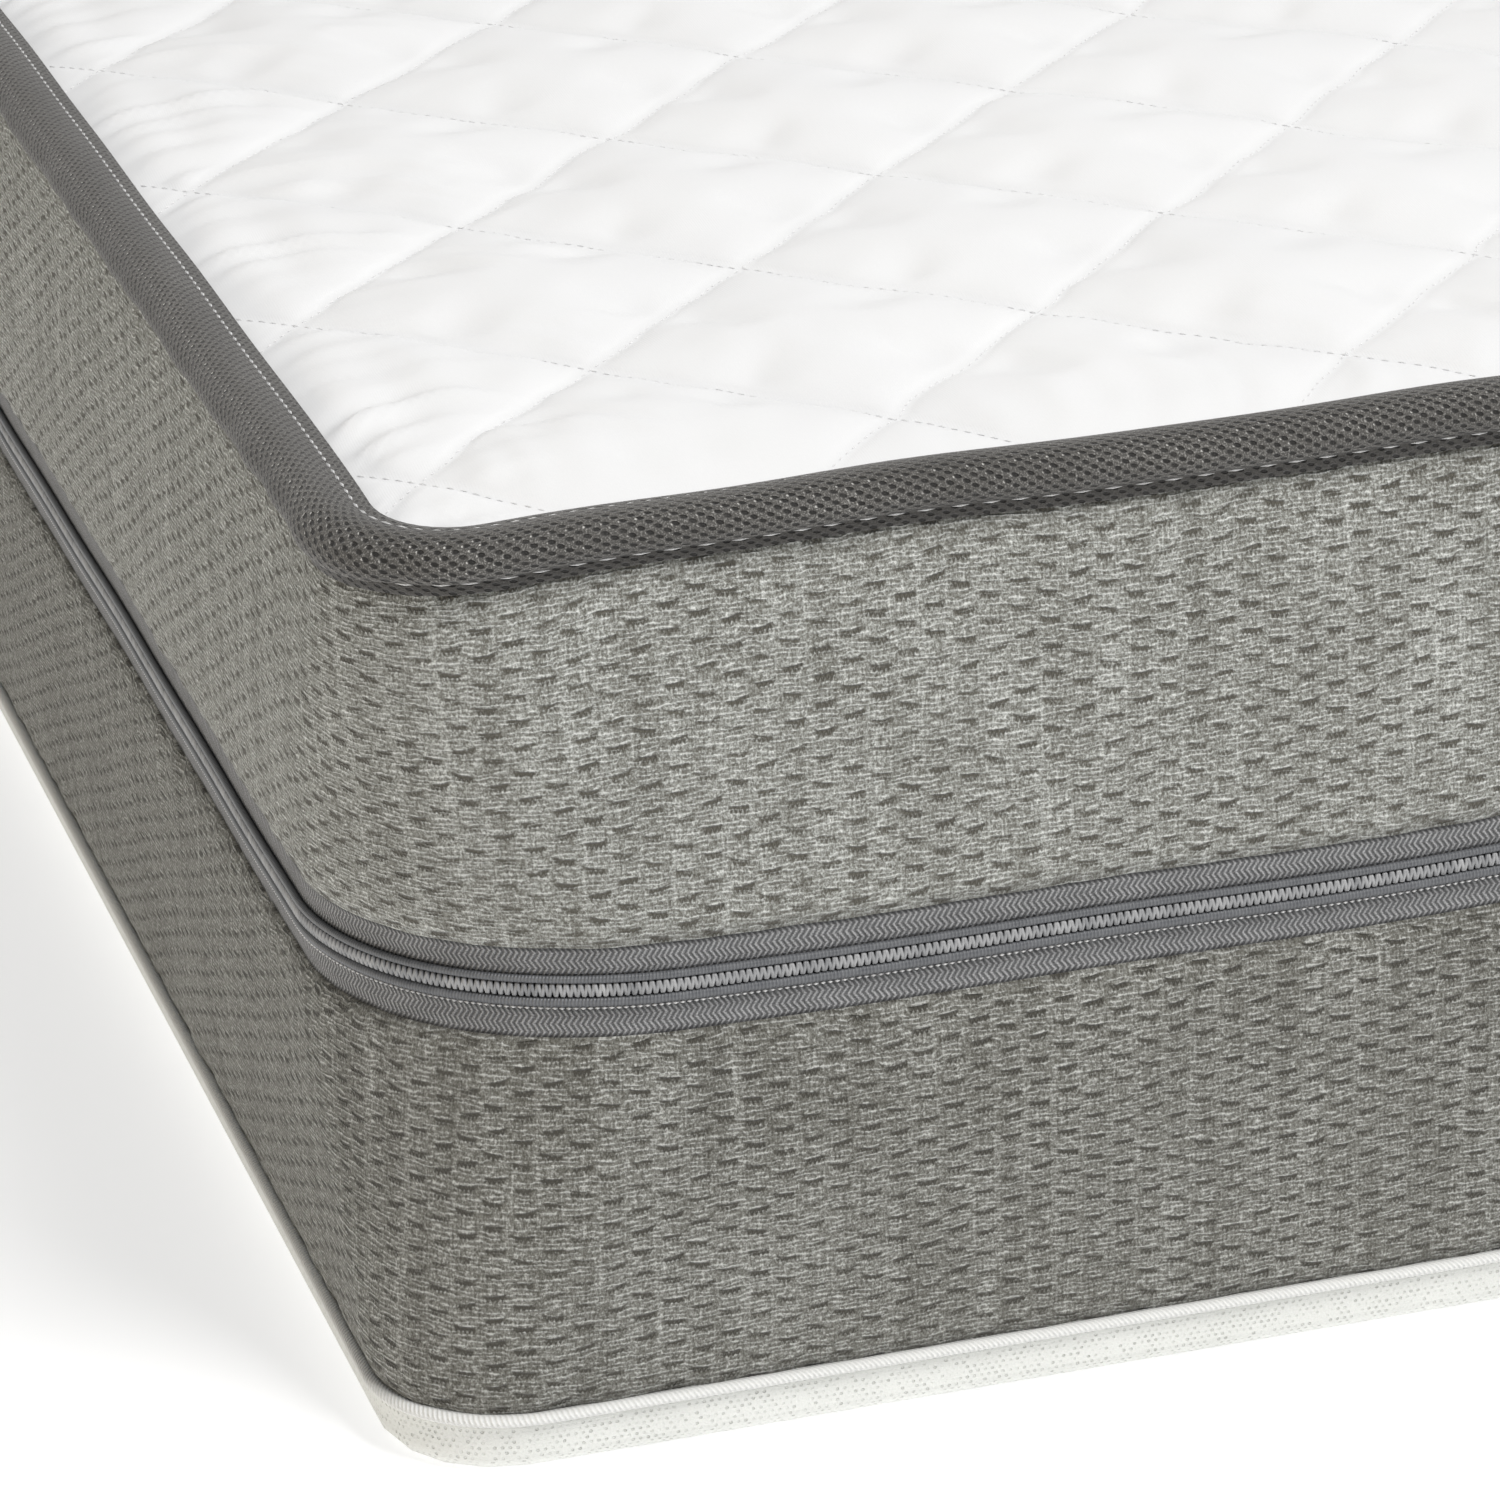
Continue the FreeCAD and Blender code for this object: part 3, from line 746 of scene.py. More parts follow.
def gathers(x, y):
    """Wrinkles where the panel was eased into its binding: bowed narrow ridges, one fan to each edge cell."""
    p, q = quilt_coordinates(x, y)
    to_p, to_q = to_stitches(x, y)
    held = (1 - np.exp(-to_p / 4.0)) * (1 - np.exp(-to_q / 4.0))
    middle_x, middle_y = quilt_plan(np.floor(p) + 0.5, np.floor(q) + 0.5)
    cell = np.floor(p) * 7.31 + np.floor(q) * 3.77
    total = np.zeros(x.shape)
    edges = (
        (x + WIDTH / 2, y, x - middle_x, GATHER_LEFT),
        (LENGTH / 2 - y, x, middle_y - y, GATHER_END),
        (WIDTH / 2 - x, y, middle_x - x, GATHER_RIGHT),
        (y + LENGTH / 2, x, y - middle_y, GATHER_END),
    )
    for turn, (depth, along, inward, strength) in enumerate(edges):
        bow = np.where(depth < 2 * GATHER_APEX, depth - GATHER_APEX, inward)
        arc = along + GATHER_BOW * bow ** 2 + GATHER_WANDER * waves(x, y, 30, 120, 40 + turn)
        ridges = np.zeros(x.shape)
        for length, phase in GATHER_RIDGES:
            wave = np.cos(2 * math.pi * arc / length + phase + cell * (1 + phase))
            ridges += np.exp(1.3 * (wave - 1)) - 0.4
        fade = np.exp(-(depth / GATHER_REACH) ** 2) + 0.12 * np.exp(-depth / 170.0)
        fade = fade * np.clip((depth - PANEL_INSET - 3.0) / 8.0, 0, 1)
        patch = 0.75 + 0.45 * waves(x, y, 50, 240, 50 + turn)
        total += strength * ridges * fade * np.clip(patch, 0.15, 2)
    return total * held


def midway(rows):
    """Values midway between rows, on smooth curves through them."""
    spread = np.concatenate([rows[:1], rows, rows[-1:]])
    return (9 * (spread[1:-2] + spread[2:-1]) - spread[:-3] - spread[3:]) / 16


def upsample(field):
    """Doubles a grid, putting each new row and column midway."""
    for _ in range(2):
        full = np.empty((2 * field.shape[0] - 1,) + field.shape[1:])
        full[::2] = field
        full[1::2] = midway(field)
        field = full.swapaxes(0, 1)
    return field


def panel_mesh(steps):
    """Quilt grid cut to the panel: plan positions and faces."""
    axis = quilt_axis(steps)
    p, q = np.meshgrid(axis, axis, indexing="ij")
    x, y = quilt_plan(p, q)
    inside = panel_depth(x, y) > 0
    faces = grid_faces(len(axis), len(axis), close_columns=False)[:, ::-1]
    faces = faces[inside.ravel()[faces].any(axis=1)]
    x, y = pull_inside(x, y, PANEL_INSET, PANEL_RADIUS)
    corners = np.stack([x.ravel(), y.ravel()], -1)[faces]
    sides = np.roll(corners, -1, axis=1)
    area = 0.5 * (corners[..., 0] * sides[..., 1] - corners[..., 1] * sides[..., 0]).sum(axis=1)
    return x, y, faces[area > SLIVER]


def pull_inside(x, y, inset, radius):
    """Brings places outside a rectangle with round corners onto its edge."""
    hub_x = np.clip(x, -(WIDTH / 2 - inset - radius), WIDTH / 2 - inset - radius)
    hub_y = np.clip(y, -(LENGTH / 2 - inset - radius), LENGTH / 2 - inset - radius)
    away = np.hypot(x - hub_x, y - hub_y)
    share = np.where(away > radius, radius / np.maximum(away, 1e-6), 1.0)
    return hub_x + (x - hub_x) * share, hub_y + (y - hub_y) * share


def kept_points(points, faces):
    """The points that faces use, the faces with new numbers, and the old numbers of the points."""
    used, numbers = np.unique(faces, return_inverse=True)
    return points.reshape(-1, 3)[used], numbers.reshape(faces.shape), used


CLOTH = {
    "vertex_group_mass": "pins", "quality": 4, "mass": 0.2, "tension_stiffness": 20,
    "compression_stiffness": 12, "shear_stiffness": 8, "bending_stiffness": 0.15, "shrink_min": -0.006,
    "use_pressure": True, "uniform_pressure_force": 1.2,
}


def puffed_cloth():
    """Cloth simulation of the face fabric, held along its stitch lines while the wadding lifts it."""
    x, y, faces = panel_mesh(SIM_STEPS)
    flat = np.stack([x, y, panel_level(x, y)], -1)
    start, faces, used = kept_points(flat, faces)
    mesh = bpy.data.meshes.new("puff")
    mesh.from_pydata((start * MM).tolist(), [], faces.tolist())
    cloth = add_object("puff", mesh)
    edge = panel_depth(x, y)
    held = (np.minimum(*to_stitches(x, y)) < 0.5) | (edge < 3.0)
    cloth.vertex_groups.new(name="pins").add(np.flatnonzero(held.ravel()[used]).tolist(), 1.0, "REPLACE")
    wear = cloth.modifiers.new("cloth", "CLOTH")
    for name, value in CLOTH.items():
        setattr(wear.settings, name, value)
    wear.settings.effector_weights.gravity = 0
    wear.point_cache.frame_start, wear.point_cache.frame_end = 1, PUFF_FRAMES
    for number in range(1, PUFF_FRAMES + 1):
        bpy.context.scene.frame_set(number)
    shape = cloth.evaluated_get(bpy.context.evaluated_depsgraph_get())
    moved = np.empty(start.size)
    shape.data.vertices.foreach_get("co", moved)
    bpy.data.objects.remove(cloth)
    bpy.context.scene.frame_set(1)
    push = np.zeros((flat.size // 3, 3))
    push[used] = moved.reshape(-1, 3) / MM - start
    push *= PUFF_LIMIT / np.maximum(np.linalg.norm(push, axis=1, keepdims=True), PUFF_LIMIT)
    away = np.clip((edge - PUFF_EDGE) / 12.0, 0, 1)
    return push.reshape(flat.shape) * away[..., None]


def quilted_slab(name, top, bottom, paint):
    """A layer of the quilted panel between two surfaces, closed round its edge."""
    x, y, quads = panel_mesh(SIM_STEPS)
    layers = []
    for surface in (top, bottom):
        points, faces, used = kept_points(np.stack([x, y, surface(x, y)], -1), quads)
        layers.append(settle(stitch_wander(points)))
    faces = shell_faces(faces, len(used))
    return new_piece(name, np.concatenate(layers), faces, "cover_top", paint)


def top_panel(paint):
    """The face fabric, puffed by the cloth simulation and then gathered along its edges."""
    x, y, faces = panel_mesh(CELL_STEPS)
    points = np.stack([x, y, panel_level(x, y) + gathers(x, y)], -1)
    points += upsample(upsample(puffed_cloth()))
    points, faces, _ = kept_points(points, faces)
    piece = new_piece("top_panel", settle(stitch_wander(points)), faces, "cover_top", paint)


def wadding_top(x, y):
    return panel_level(x, y) - WADDING_BELOW


def backing_top(x, y):
    return underside(x, y) + BACKING


def top_wadding(paint):
    piece = quilted_slab("top_wadding", wadding_top, backing_top, paint)


def top_backing(paint):
    piece = quilted_slab("top_backing", backing_top, underside, paint)


def underside(x, y):
    """The quilted panel's lower face, drawn up along its stitch lines."""
    return UNDERSIDE_LEVEL + 1.3 * np.exp(-np.minimum(*to_stitches(x, y)) / 5.0)


def stitch_wander(points):
    """The quilting needle's small wanderings, sideways."""
    x, y = points[..., 0], points[..., 1]
    inner = np.clip(panel_depth(x, y) / 30.0, 0, 1)
    return points + np.stack([*(0.9 * waves(x, y, 16, 90, seed) * inner for seed in (61, 62)), 0 * x], -1)


STITCH_PITCH = 3.1
STITCH = (2.0, 0.42, 0.36)

SPINDLE = (
    np.array([(-0.5, 0, 0), (0.5, 0, 0), (0, -0.5, 0), (0, 0.5, 0), (0, 0, 0.5), (0, 0, -0.5)]),
    np.array([(0, 2, 4), (2, 1, 4), (1, 3, 4), (3, 0, 4), (2, 0, 5), (1, 2, 5), (3, 1, 5), (0, 3, 5)]),
)


def scatter(form, centres, ahead, lifts, size=(1, 1, 1)):
    """A copy of a form at each centre. The form's axes are ahead, sideways and lifted."""
    shape, triangles = form
    shape = shape * size
    sideways = np.cross(lifts, ahead)
    points = (centres[:, None] + ahead[:, None] * shape[None, :, :1]
              + sideways[:, None] * shape[None, :, 1:2] + lifts[:, None] * shape[None, :, 2:])
    faces = (np.arange(len(centres))[:, None, None] * len(shape) + triangles[None]).reshape(-1, 3)
    return points.reshape(-1, 3), faces


def upward(points):
    return np.tile([0.0, 0.0, 1.0], (len(points), 1))


def stitches(name, centres, ahead, lifts, size, paint):
    points, faces = scatter(SPINDLE, settle(centres), ahead, lifts, size)
    new_piece(name, points, faces, "cover_top", paint, smooth=False)


def quilting_thread(paint):
    """Every stitch of the quilting lines, lying in its groove."""
    run = np.arange(-QUILT_REACH, QUILT_REACH, STITCH_PITCH / math.hypot(*QUILT_HALF))
    line, run = np.meshgrid(np.arange(-QUILT_REACH, QUILT_REACH + 1), run, indexing="ij")
    starts, directions = [], []
    for p, q, way in ((line, run, -1), (run, line, 1)):
        x, y = quilt_plan(p, q)
        keep = inside_distance(x, y, PANEL_INSET + 3.0, PANEL_RADIUS - 3.0) > 0
        x, y = x[keep], y[keep]
        starts.append(np.stack([x, y, panel_level(x, y) + 0.12], -1))
        heading = np.array([QUILT_HALF[0], way * QUILT_HALF[1], 0.0]) / math.hypot(*QUILT_HALF)
        directions.append(np.tile(heading, (len(x), 1)))
    starts = stitch_wander(np.concatenate(starts))
    stitches("quilting_thread", starts, np.concatenate(directions), upward(starts), STITCH, paint)


# Blocks and trays

def block(rows, count_x, count_y, top_level=None):
    """A closed block: rows of (height, inset, radius), upwards, and the height over the plan of its top."""
    counts = (count_x, count_y, count_x, count_y)
    ends = np.append(STARTS[0:8:2], PERIMETER) - PATCH_LENGTH / 2
    stations = np.concatenate([low + (high - low) * np.arange(n) / n
                               for low, high, n in zip(ends, ends[1:], counts)])
    total = len(stations)
    z, inset, radius = np.array(rows).T[..., None]
    wall = with_height(outline(stations, inset, radius)[0], z)
    climb = np.concatenate([[0], np.cumsum(np.hypot(*np.diff(np.array(rows)[:, :2], axis=0).T))])
    quads = np.roll(grid_faces(len(rows), total)[:, ::-1], 1, axis=1)
    points, faces = [wall.reshape(-1, 3)], [quads]
    uv = [np.stack([round_places(quads % total, stations, ends[-1]), climb[quads // total]], -1).reshape(-1, 2)]
    for row, turn in ((0, -1), (len(rows) - 1, 1)):
        ring = np.arange(total) + row * total
        grid, inner = cap_grid(ring, wall[row], counts, sum(map(len, points)))
        if row and top_level:
            inner[:, 2] = top_level(inner[:, 0], inner[:, 1])
        points.append(inner)
        faces.append(grid.ravel()[grid_faces(*grid.shape, close_columns=False)][:, ::turn])
        uv.append(np.concatenate(points)[faces[-1].ravel(), :2])
    return np.concatenate(points), np.concatenate(faces), np.concatenate(uv)


def cap_grid(ring, points, counts, first_free):
    """Fills a ring with a grid whose outer points are the ring's own."""
    nx, ny = counts[0], counts[1]
    corner = np.cumsum((0,) + counts)
    head, left, foot, right = (np.arange(a, b + 1) % len(ring) for a, b in zip(corner, corner[1:]))
    edges = (foot, right, head[::-1], left[::-1])
    c0, c1, c2, c3 = (points[edge] for edge in edges)
    u, v = np.meshgrid(np.arange(nx + 1) / nx, np.arange(ny + 1) / ny, indexing="ij")
    u, v = u[..., None], v[..., None]
    surface = (1 - v) * c0[:, None] + v * c2[:, None] + (1 - u) * c3[None] + u * c1[None]
    surface -= ((1 - u) * (1 - v) * c0[0] + u * (1 - v) * c0[-1] + (1 - u) * v * c2[0] + u * v * c2[-1])
    grid = np.empty((nx + 1, ny + 1), int)
    grid[1:-1, 1:-1] = first_free + np.arange((nx - 1) * (ny - 1)).reshape(nx - 1, ny - 1)
    grid[:, 0], grid[-1, :], grid[:, -1], grid[0, :] = (ring[edge] for edge in edges)
    return grid, surface[1:-1, 1:-1].reshape(-1, 3)


def block_piece(name, rows, spacing, body, material):
    points, faces, uv = block(rows, int(WIDTH / spacing), int(LENGTH / spacing))
    return new_piece(name, settle(points), faces, body, material, uv)


def rounded_rows(low, high, inset, radius, low_edge, high_edge, steps=5, wall_step=14.0):
    """Rows of a straight block whose lower and upper edges are rounded."""
    rows = []
    for i in range(steps + 1):
        turn = math.pi / 2 * i / steps
        back = low_edge * (1 - math.sin(turn))
        rows.append((low + low_edge * (1 - math.cos(turn)), inset + back, radius - back))
    wall = high - high_edge - low - low_edge
    count = max(1, int(wall / wall_step))
    for i in range(1, count):
        rows.append((low + low_edge + wall * i / count, inset, radius))
    for i in range(steps + 1):
        turn = math.pi / 2 * i / steps
        back = high_edge * (1 - math.cos(turn))
        rows.append((high - high_edge + high_edge * math.sin(turn), inset + back, radius - back))
    return rows


# Pieces of the lower half of the cover

def bottom_panel(paint, hem):
    """Air mesh tray: the sheet under the mattress, turned up round its edge."""
    heights = np.linspace(0, HEM_BOTTOM, 9)[1:]
    outer = [(0.0, 11.0, 20.0), (0.05, 8.0, 22.0), (0.5, 5.4, 24.0)]
    outer += [(z, *map(float, profile_at(z))) for z in heights]
    inner = [(max(z, BOTTOM_SHEET), inset + BOTTOM_SHEET, radius - BOTTOM_SHEET)
             for z, inset, radius in outer[::-1]]
    inner = [row for i, row in enumerate(inner)
             if i in (0, len(inner) - 1) or row[0] < inner[i - 1][0] - 0.01]
    piece = block_piece("bottom_panel", outer + inner, 9.0, "cover_bottom", paint)


def bottom_hem(paint):
    """Rounded raised seam."""
    middle = (HEM_BOTTOM + HEM_TOP) / 2
    half = (HEM_TOP - HEM_BOTTOM) / 2 + 0.35
    section = []
    for i in range(14):
        turn = -math.pi / 2 + math.pi * i / 13
        section.append((middle + half * math.sin(turn), 1.5 * math.cos(turn), half * turn))
    section += [(middle + half, -1.2, 3.0), (middle - half, -1.2, 4.0)]
    return ring_piece("bottom_hem", section, 4.0, "cover_bottom", "white_mesh", paint)


def knit_border(name, low, high, body, slot, paint):
    """A knit border, pulled in and puckered where it is sewn."""
    section = layer_section(low, high, 0, KNIT, step=3.4)

    def pull(s, z, out):
        near = np.minimum(z - low, high - z)
        tuck = -1.1 * np.exp(-np.clip(near, 0, None) / 2.2)
        pucker = 0.38 * ring_noise(s, 9, 26, 71) * np.exp(-np.clip(high - z, 0, None) / 16.0)
        pucker += 0.25 * ring_noise(s, 12, 40, 72) * np.exp(-np.clip(z - low, 0, None) / 12.0)
        return np.zeros_like(z), tuck + pucker

    piece = ring_piece(name, section, 3.6, body, slot, paint, shift=pull)


def ring_noise(s, shortest, longest, seed, count=12):
    """Smooth noise round the side, about -1 to 1, made of whole waves."""
    rng = np.random.default_rng(seed)
    total = np.zeros(np.shape(s))
    for length in np.geomspace(shortest, longest, count):
        total += np.sin(2 * math.pi * round(PERIMETER / length) * s / PERIMETER + rng.uniform(0, 2 * math.pi))
    return total / math.sqrt(count)


def border_foam(name, body, paint):
    section = layer_section(bottom_of(name), top_of(name), -KNIT - 0.25, BORDER_FOAM - 0.3, step=9.0)
    piece = ring_piece(name, section, 9.0, body, "border_foam", paint)


# The binding

BINDING_PATH = (
    (191.3, 0.3), (192.3, 0.55), (193.4, 0.75), (194.3, 0.85), (194.8, 1.6), (195.6, 2.9),
    (197.5, 3.9), (199.8, 3.7), (201.9, 2.4), (203.3, -0.2), (203.7, -3.0), (203.3, -5.8),
    (202.3, -7.8), (201.7, -8.6), (201.4, -9.6), (201.2, -11.8),
)
BINDING_STITCH = (201.95, -8.5)
BORDER_STITCH = (194.1, 0.8)
TUCKED_KNIT_TOP = UPPER_KNIT_TOP + 1.7


def smooth_path(points, per_span):
    """A Catmull-Rom curve through points."""
    points = np.asarray(points, float)
    ends = [2 * points[0] - points[1], *points, 2 * points[-1] - points[-2]]
    made = []
    for a, b, c, d in zip(ends, ends[1:], ends[2:], ends[3:]):
        for i in range(per_span):
            t = i / per_span
            made.append(0.5 * (2 * b + (c - a) * t + (2 * a - 5 * b + 4 * c - d) * t * t
                               + (3 * b - a - 3 * c + d) * t ** 3))
    made.append(points[-1])
    return np.array(made)


def tape_section(path, thickness):
    """Section of a folded tape: along its outer face and back along its inner one."""
    steps = np.gradient(path, axis=0)
    steps /= np.linalg.norm(steps, axis=1, keepdims=True)
    inward = np.stack([steps[:, 1], -steps[:, 0]], -1)
    along = np.concatenate([[0], np.cumsum(np.linalg.norm(np.diff(path, axis=0), axis=1))])
    outer = np.column_stack([path, along])
    inner = np.column_stack([path + inward * thickness, along])[::-1]
    return np.concatenate([outer, inner])


def corner_nearness(s, reach):
    """One at the middle of each rounded corner, falling to zero."""
    middles = STARTS[1:8:2] + PATCH_LENGTH / 2
    away = np.abs((s[..., None] - middles + PERIMETER / 2) % PERIMETER - PERIMETER / 2).min(axis=-1)
    return np.exp(-(away / reach) ** 2)


def binding_shift(s, z, out):
    """The roll fills out at the corners, where its tape is creased, and wanders a little elsewhere."""
    near = corner_nearness(s, 17.0)
    crease = corner_nearness(s - 5.0, 3.2)
    share = np.clip((HEIGHT + 0.5 - z) / 12.0, 0, 1.1)
    body = np.clip((out - 0.9) / 2.0, 0, 1)
    rise = -0.9 * near * share * body + 0.22 * ring_noise(s, 30, 130, 81) * (0.35 + 0.65 * share) * body
    push = (1.0 * near - 1.5 * crease + 0.25 * ring_noise(s, 18, 70, 82)) * body
    return rise, push


def edge_binding(paint):
    section = tape_section(smooth_path(BINDING_PATH, 2), BINDING_TAPE)
    piece = ring_piece("edge_binding", section, 3.0, "cover_top", "grey_mesh", paint, shift=binding_shift)


def along_side(s, z, out):
    """Places round the side, with the unit vectors ahead and outward there."""
    here = place(s, z, out)
    ahead = place(s + 0.5, z, out) - place(s - 0.5, z, out)
    ahead /= np.linalg.norm(ahead, axis=1, keepdims=True)
    return here, ahead, np.cross(ahead, [0.0, 0.0, 1.0])


def spaced(start, end, pitch, seed, jitter=0.1):
    """Places every pitch or so from start to end."""
    count = int(round((end - start) / pitch))
    places = start + (np.arange(count) + 0.5) * (end - start) / count
    return places + jitter * pitch * np.random.default_rng(seed).normal(size=count)


def binding_stitching(paint):
    """White lockstitch where the binding's roll meets its inner edge."""
    z, out = BINDING_STITCH
    s = spaced(0, PERIMETER, 4.1, 91, 0.04)
    rise, push = binding_shift(s, np.full(len(s), z), np.full(len(s), out))
    here, ahead, _ = along_side(s, z + rise, out + push)
    stitches("binding_stitching", here, ahead, upward(s), (3.5, 0.75, 0.6), paint)


def border_stitching(paint):
    """The same seam under the roll, where it comes out on the tape's flange."""
    s = spaced(0, PERIMETER, 6.4, 92, 0.05)
    stitches("border_stitching", *along_side(s, *BORDER_STITCH), (4.0, 0.5, 0.45), paint)


# The zip

# The coils are open between these two places, measured round the side
COIL_START = s_of_head(335.0)
COIL_END = s_of_head(385.0) + PERIMETER
TAPE_SPLIT = s_of_head(360.0)
TAPE_SLIT = 1.0
TOOTH_PITCH = 1.5
TEETH_UP, TEETH_OUT = 0.85, -0.55
RAIL_OUT = -0.72
TOOTH = ((-0.22, -1.75, -0.25), (-0.26, -1.1, 0.15), (-0.1, -0.3, 0.3), (0.16, 0.45, 0.2), (0.24, 1.2, 0.0),
         (0.22, 1.6, -0.2))
TOOTH_WIDTH = 0.92

# Each half of the chain: how high its rail is, the rail's radius, and how high and far out its stitches are
UPPER_CHAIN = (3.1, 0.8, 4.1, -1.7)
LOWER_CHAIN = (-1.65, 1.0, -2.95, -0.4)


def rod_form(path, width, sides=6):
    """A short bent rod along a path, drawn to a point at both ends."""
    path = np.asarray(path, float)
    steps = np.gradient(path[:, :2], axis=0)
    steps /= np.linalg.norm(steps, axis=1, keepdims=True)
    turns = 2 * math.pi * np.arange(sides)[:, None] / sides
    rings = []
    for point, (dx, dy) in zip(path[1:-1], steps[1:-1]):
        across = np.array([[-dy, dx, 0.0]])
        rings.append(point + (across * np.cos(turns) + [[0, 0, 1.0]] * np.sin(turns)) * width / 2)
    points = np.concatenate([path[:1], *rings, path[-1:]])
    last = 1 + (len(rings) - 1) * sides
    faces = []
    for k in range(sides):
        after = (k + 1) % sides
        faces += [(0, 1 + after, 1 + k), (last + k, last + after, len(points) - 1)]
        for low in range(1, last, sides):
            high = low + sides
            faces += [(low + k, low + after, high + after), (low + k, high + after, high + k)]
    return points, np.array(faces)


def scattered(form, places, z, out, v):
    """Copies of a form round the side. Its axes are ahead, up and outward."""
    here, ahead, outward = along_side(places, z, out)
    points, faces = scatter(form, here, ahead, outward)
    uv = np.stack([np.repeat(places, len(form[0]))[faces], np.full(faces.shape, v)], -1)
    return points, faces.tolist(), uv.reshape(-1, 2).tolist()


def joined_piece(name, parts, body, material):
    """One piece made of several lots of points, faces and texture coordinates."""
    points, faces, uv = [], [], []
    for part_points, part_faces, part_uv in parts:
        first = sum(map(len, points))
        points.append(np.asarray(part_points))
        faces += [[first + i for i in face] for face in part_faces]
        uv += list(part_uv)
    return new_piece(name, settle(np.concatenate(points)), faces, body, material, uv)


def zip_tape(name, upper, paint):
    """Half the zip's tape, a strip whose ends meet at the slider's end of the run."""
    low, high = bottom_of(name), top_of(name)
    start, end = TAPE_SPLIT + TAPE_SLIT / 2, TAPE_SPLIT - TAPE_SLIT / 2 + PERIMETER
    section = layer_section(low, high, -TAPE_INSET, ZIP_TAPE, step=1.6)
    body = "cover_top" if upper else "cover_bottom"
    piece = ring_piece(name, section, 4.0, body, "zip_tape", paint, start=start, end=end)


def zip_coil(name, upper, paint):
    """Half the chain: its rail, the teeth that mesh with the other half, and the stitches beside them."""
    rail_up, rail_radius, stitch_up, stitch_out = UPPER_CHAIN if upper else LOWER_CHAIN
    turns = np.linspace(0, 2 * math.pi, 11)[:-1]
    rail = np.stack([np.sin(turns), np.cos(turns), turns], -1) * rail_radius
    rail += (ZIP_LEVEL + rail_up, RAIL_OUT, 0)
    tooth = [(x, -y, out) for x, y, out in TOOTH[::-1]] if upper else TOOTH
    stitch = SPINDLE[0] * (1.25, 0.62, 0.7), SPINDLE[1]
    places = spaced(COIL_START, COIL_END, TOOTH_PITCH, 0, 0.0)
    tooth_places = places + (0 if upper else TOOTH_PITCH / 2)
    parts = [
        sweep(rail, 3.0, COIL_START, COIL_END),
        scattered(rod_form(tooth, TOOTH_WIDTH), tooth_places, ZIP_LEVEL + TEETH_UP, TEETH_OUT, TOOTH_MARK),
        scattered(stitch, places, ZIP_LEVEL + stitch_up, stitch_out, 0.0 if upper else THREAD_MARK),
    ]
    joined_piece(name, parts, "cover_top" if upper else "cover_bottom", paint)


def flap(name, path, thickness, slot, paint):
    """A small cloth flap on the head end. Its path is heights and outward distances of its outer face."""
    low, high = (corner.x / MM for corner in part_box(name))
    path = smooth_path(path, 3)

    def ripple(s, z, out):
        return np.zeros_like(z), 0.18 * waves(s, z + 4 * out, 9, 40, 33)

    piece = ring_piece(name, tape_section(path, thickness), 1.5, "cover_bottom", slot, paint,
                       start=s_of_head(high), end=s_of_head(low), shift=ripple)


def blank_label(paint):
    """A folded ribbon caught in the hem, without any print."""
    top, bottom = top_of("blank_label"), bottom_of("blank_label")
    path = ((top, 1.15), (bottom + 3, 1.2), (bottom + 0.6, 1.3), (bottom, 1.7), (bottom + 0.6, 2.1),
            (bottom + 3, 1.9), (top, 1.75))
    flap("blank_label", path, -0.16, "label_fabric", paint)


def zip_garage(paint):
    """A flap over the two ends of the zip, sewn down along its lower edge."""
    top, bottom = top_of("zip_garage"), bottom_of("zip_garage")
    path = ((bottom, 0.9), (bottom + 2.6, 0.95), (bottom + 5, 1.6), (bottom + 9, 1.95),
            ((top + bottom) / 2, 2.15), (top, 2.0))
    flap("zip_garage", path, 0.8, "garage_fabric", paint)


# The core

def foam(name, low_edge, high_edge, paint):
    rows = rounded_rows(bottom_of(name) + 0.1, top_of(name) - 0.1, CORE_INSET + SOCK + 0.15,
                        CORE_RADIUS - SOCK, low_edge, high_edge)
    piece = block_piece(name, rows, 16.0, "foam_core", paint)


def fire_sock(paint):
    """Knitted sleeve round the foam: a thin closed shell."""
    rows = rounded_rows(CORE_BOTTOM, CORE_TOP, CORE_INSET, CORE_RADIUS, CORE_EDGE, CORE_EDGE, wall_step=8.0)
    inner = rounded_rows(CORE_BOTTOM + SOCK, CORE_TOP - SOCK, CORE_INSET + SOCK, CORE_RADIUS - SOCK,
                         CORE_EDGE - SOCK, CORE_EDGE - SOCK)

    def soft(level):
        return lambda x, y: level + 0.25 * waves(x, y, 40, 300, 15) * np.clip(
            inside_distance(x, y, CORE_INSET, CORE_RADIUS) / 40.0, 0, 1)

    outside = block(rows, 110, 212, soft(CORE_TOP - 0.4))
    points, faces, uv = block(inner, 60, 116, soft(CORE_TOP - 0.4 - SOCK))
    inside = points, faces[:, ::-1], uv.reshape(-1, 4, 2)[:, ::-1].reshape(-1, 2)
    piece = joined_piece("fire_sock", (outside, inside), "foam_core", paint)


# Camera, light and floor

# In metres, degrees and, on a 36 mm sensor, millimetres
CAMERA_PLACE = (-0.7304, -2.0974, 0.6137)
CAMERA_TURN = (68.67, 2.358, -16.316)
CAMERA_LENS = 156.4


def make_camera():
    data = bpy.data.cameras.new("camera")
    data.sensor_width = 36.0
    data.lens = CAMERA_LENS
    camera = add_object("camera", data)
    camera.location = CAMERA_PLACE
    camera.rotation_euler = Euler([math.radians(angle) for angle in CAMERA_TURN])
    data.clip_start, data.clip_end = 0.05, 60.0
    bpy.context.scene.camera = camera


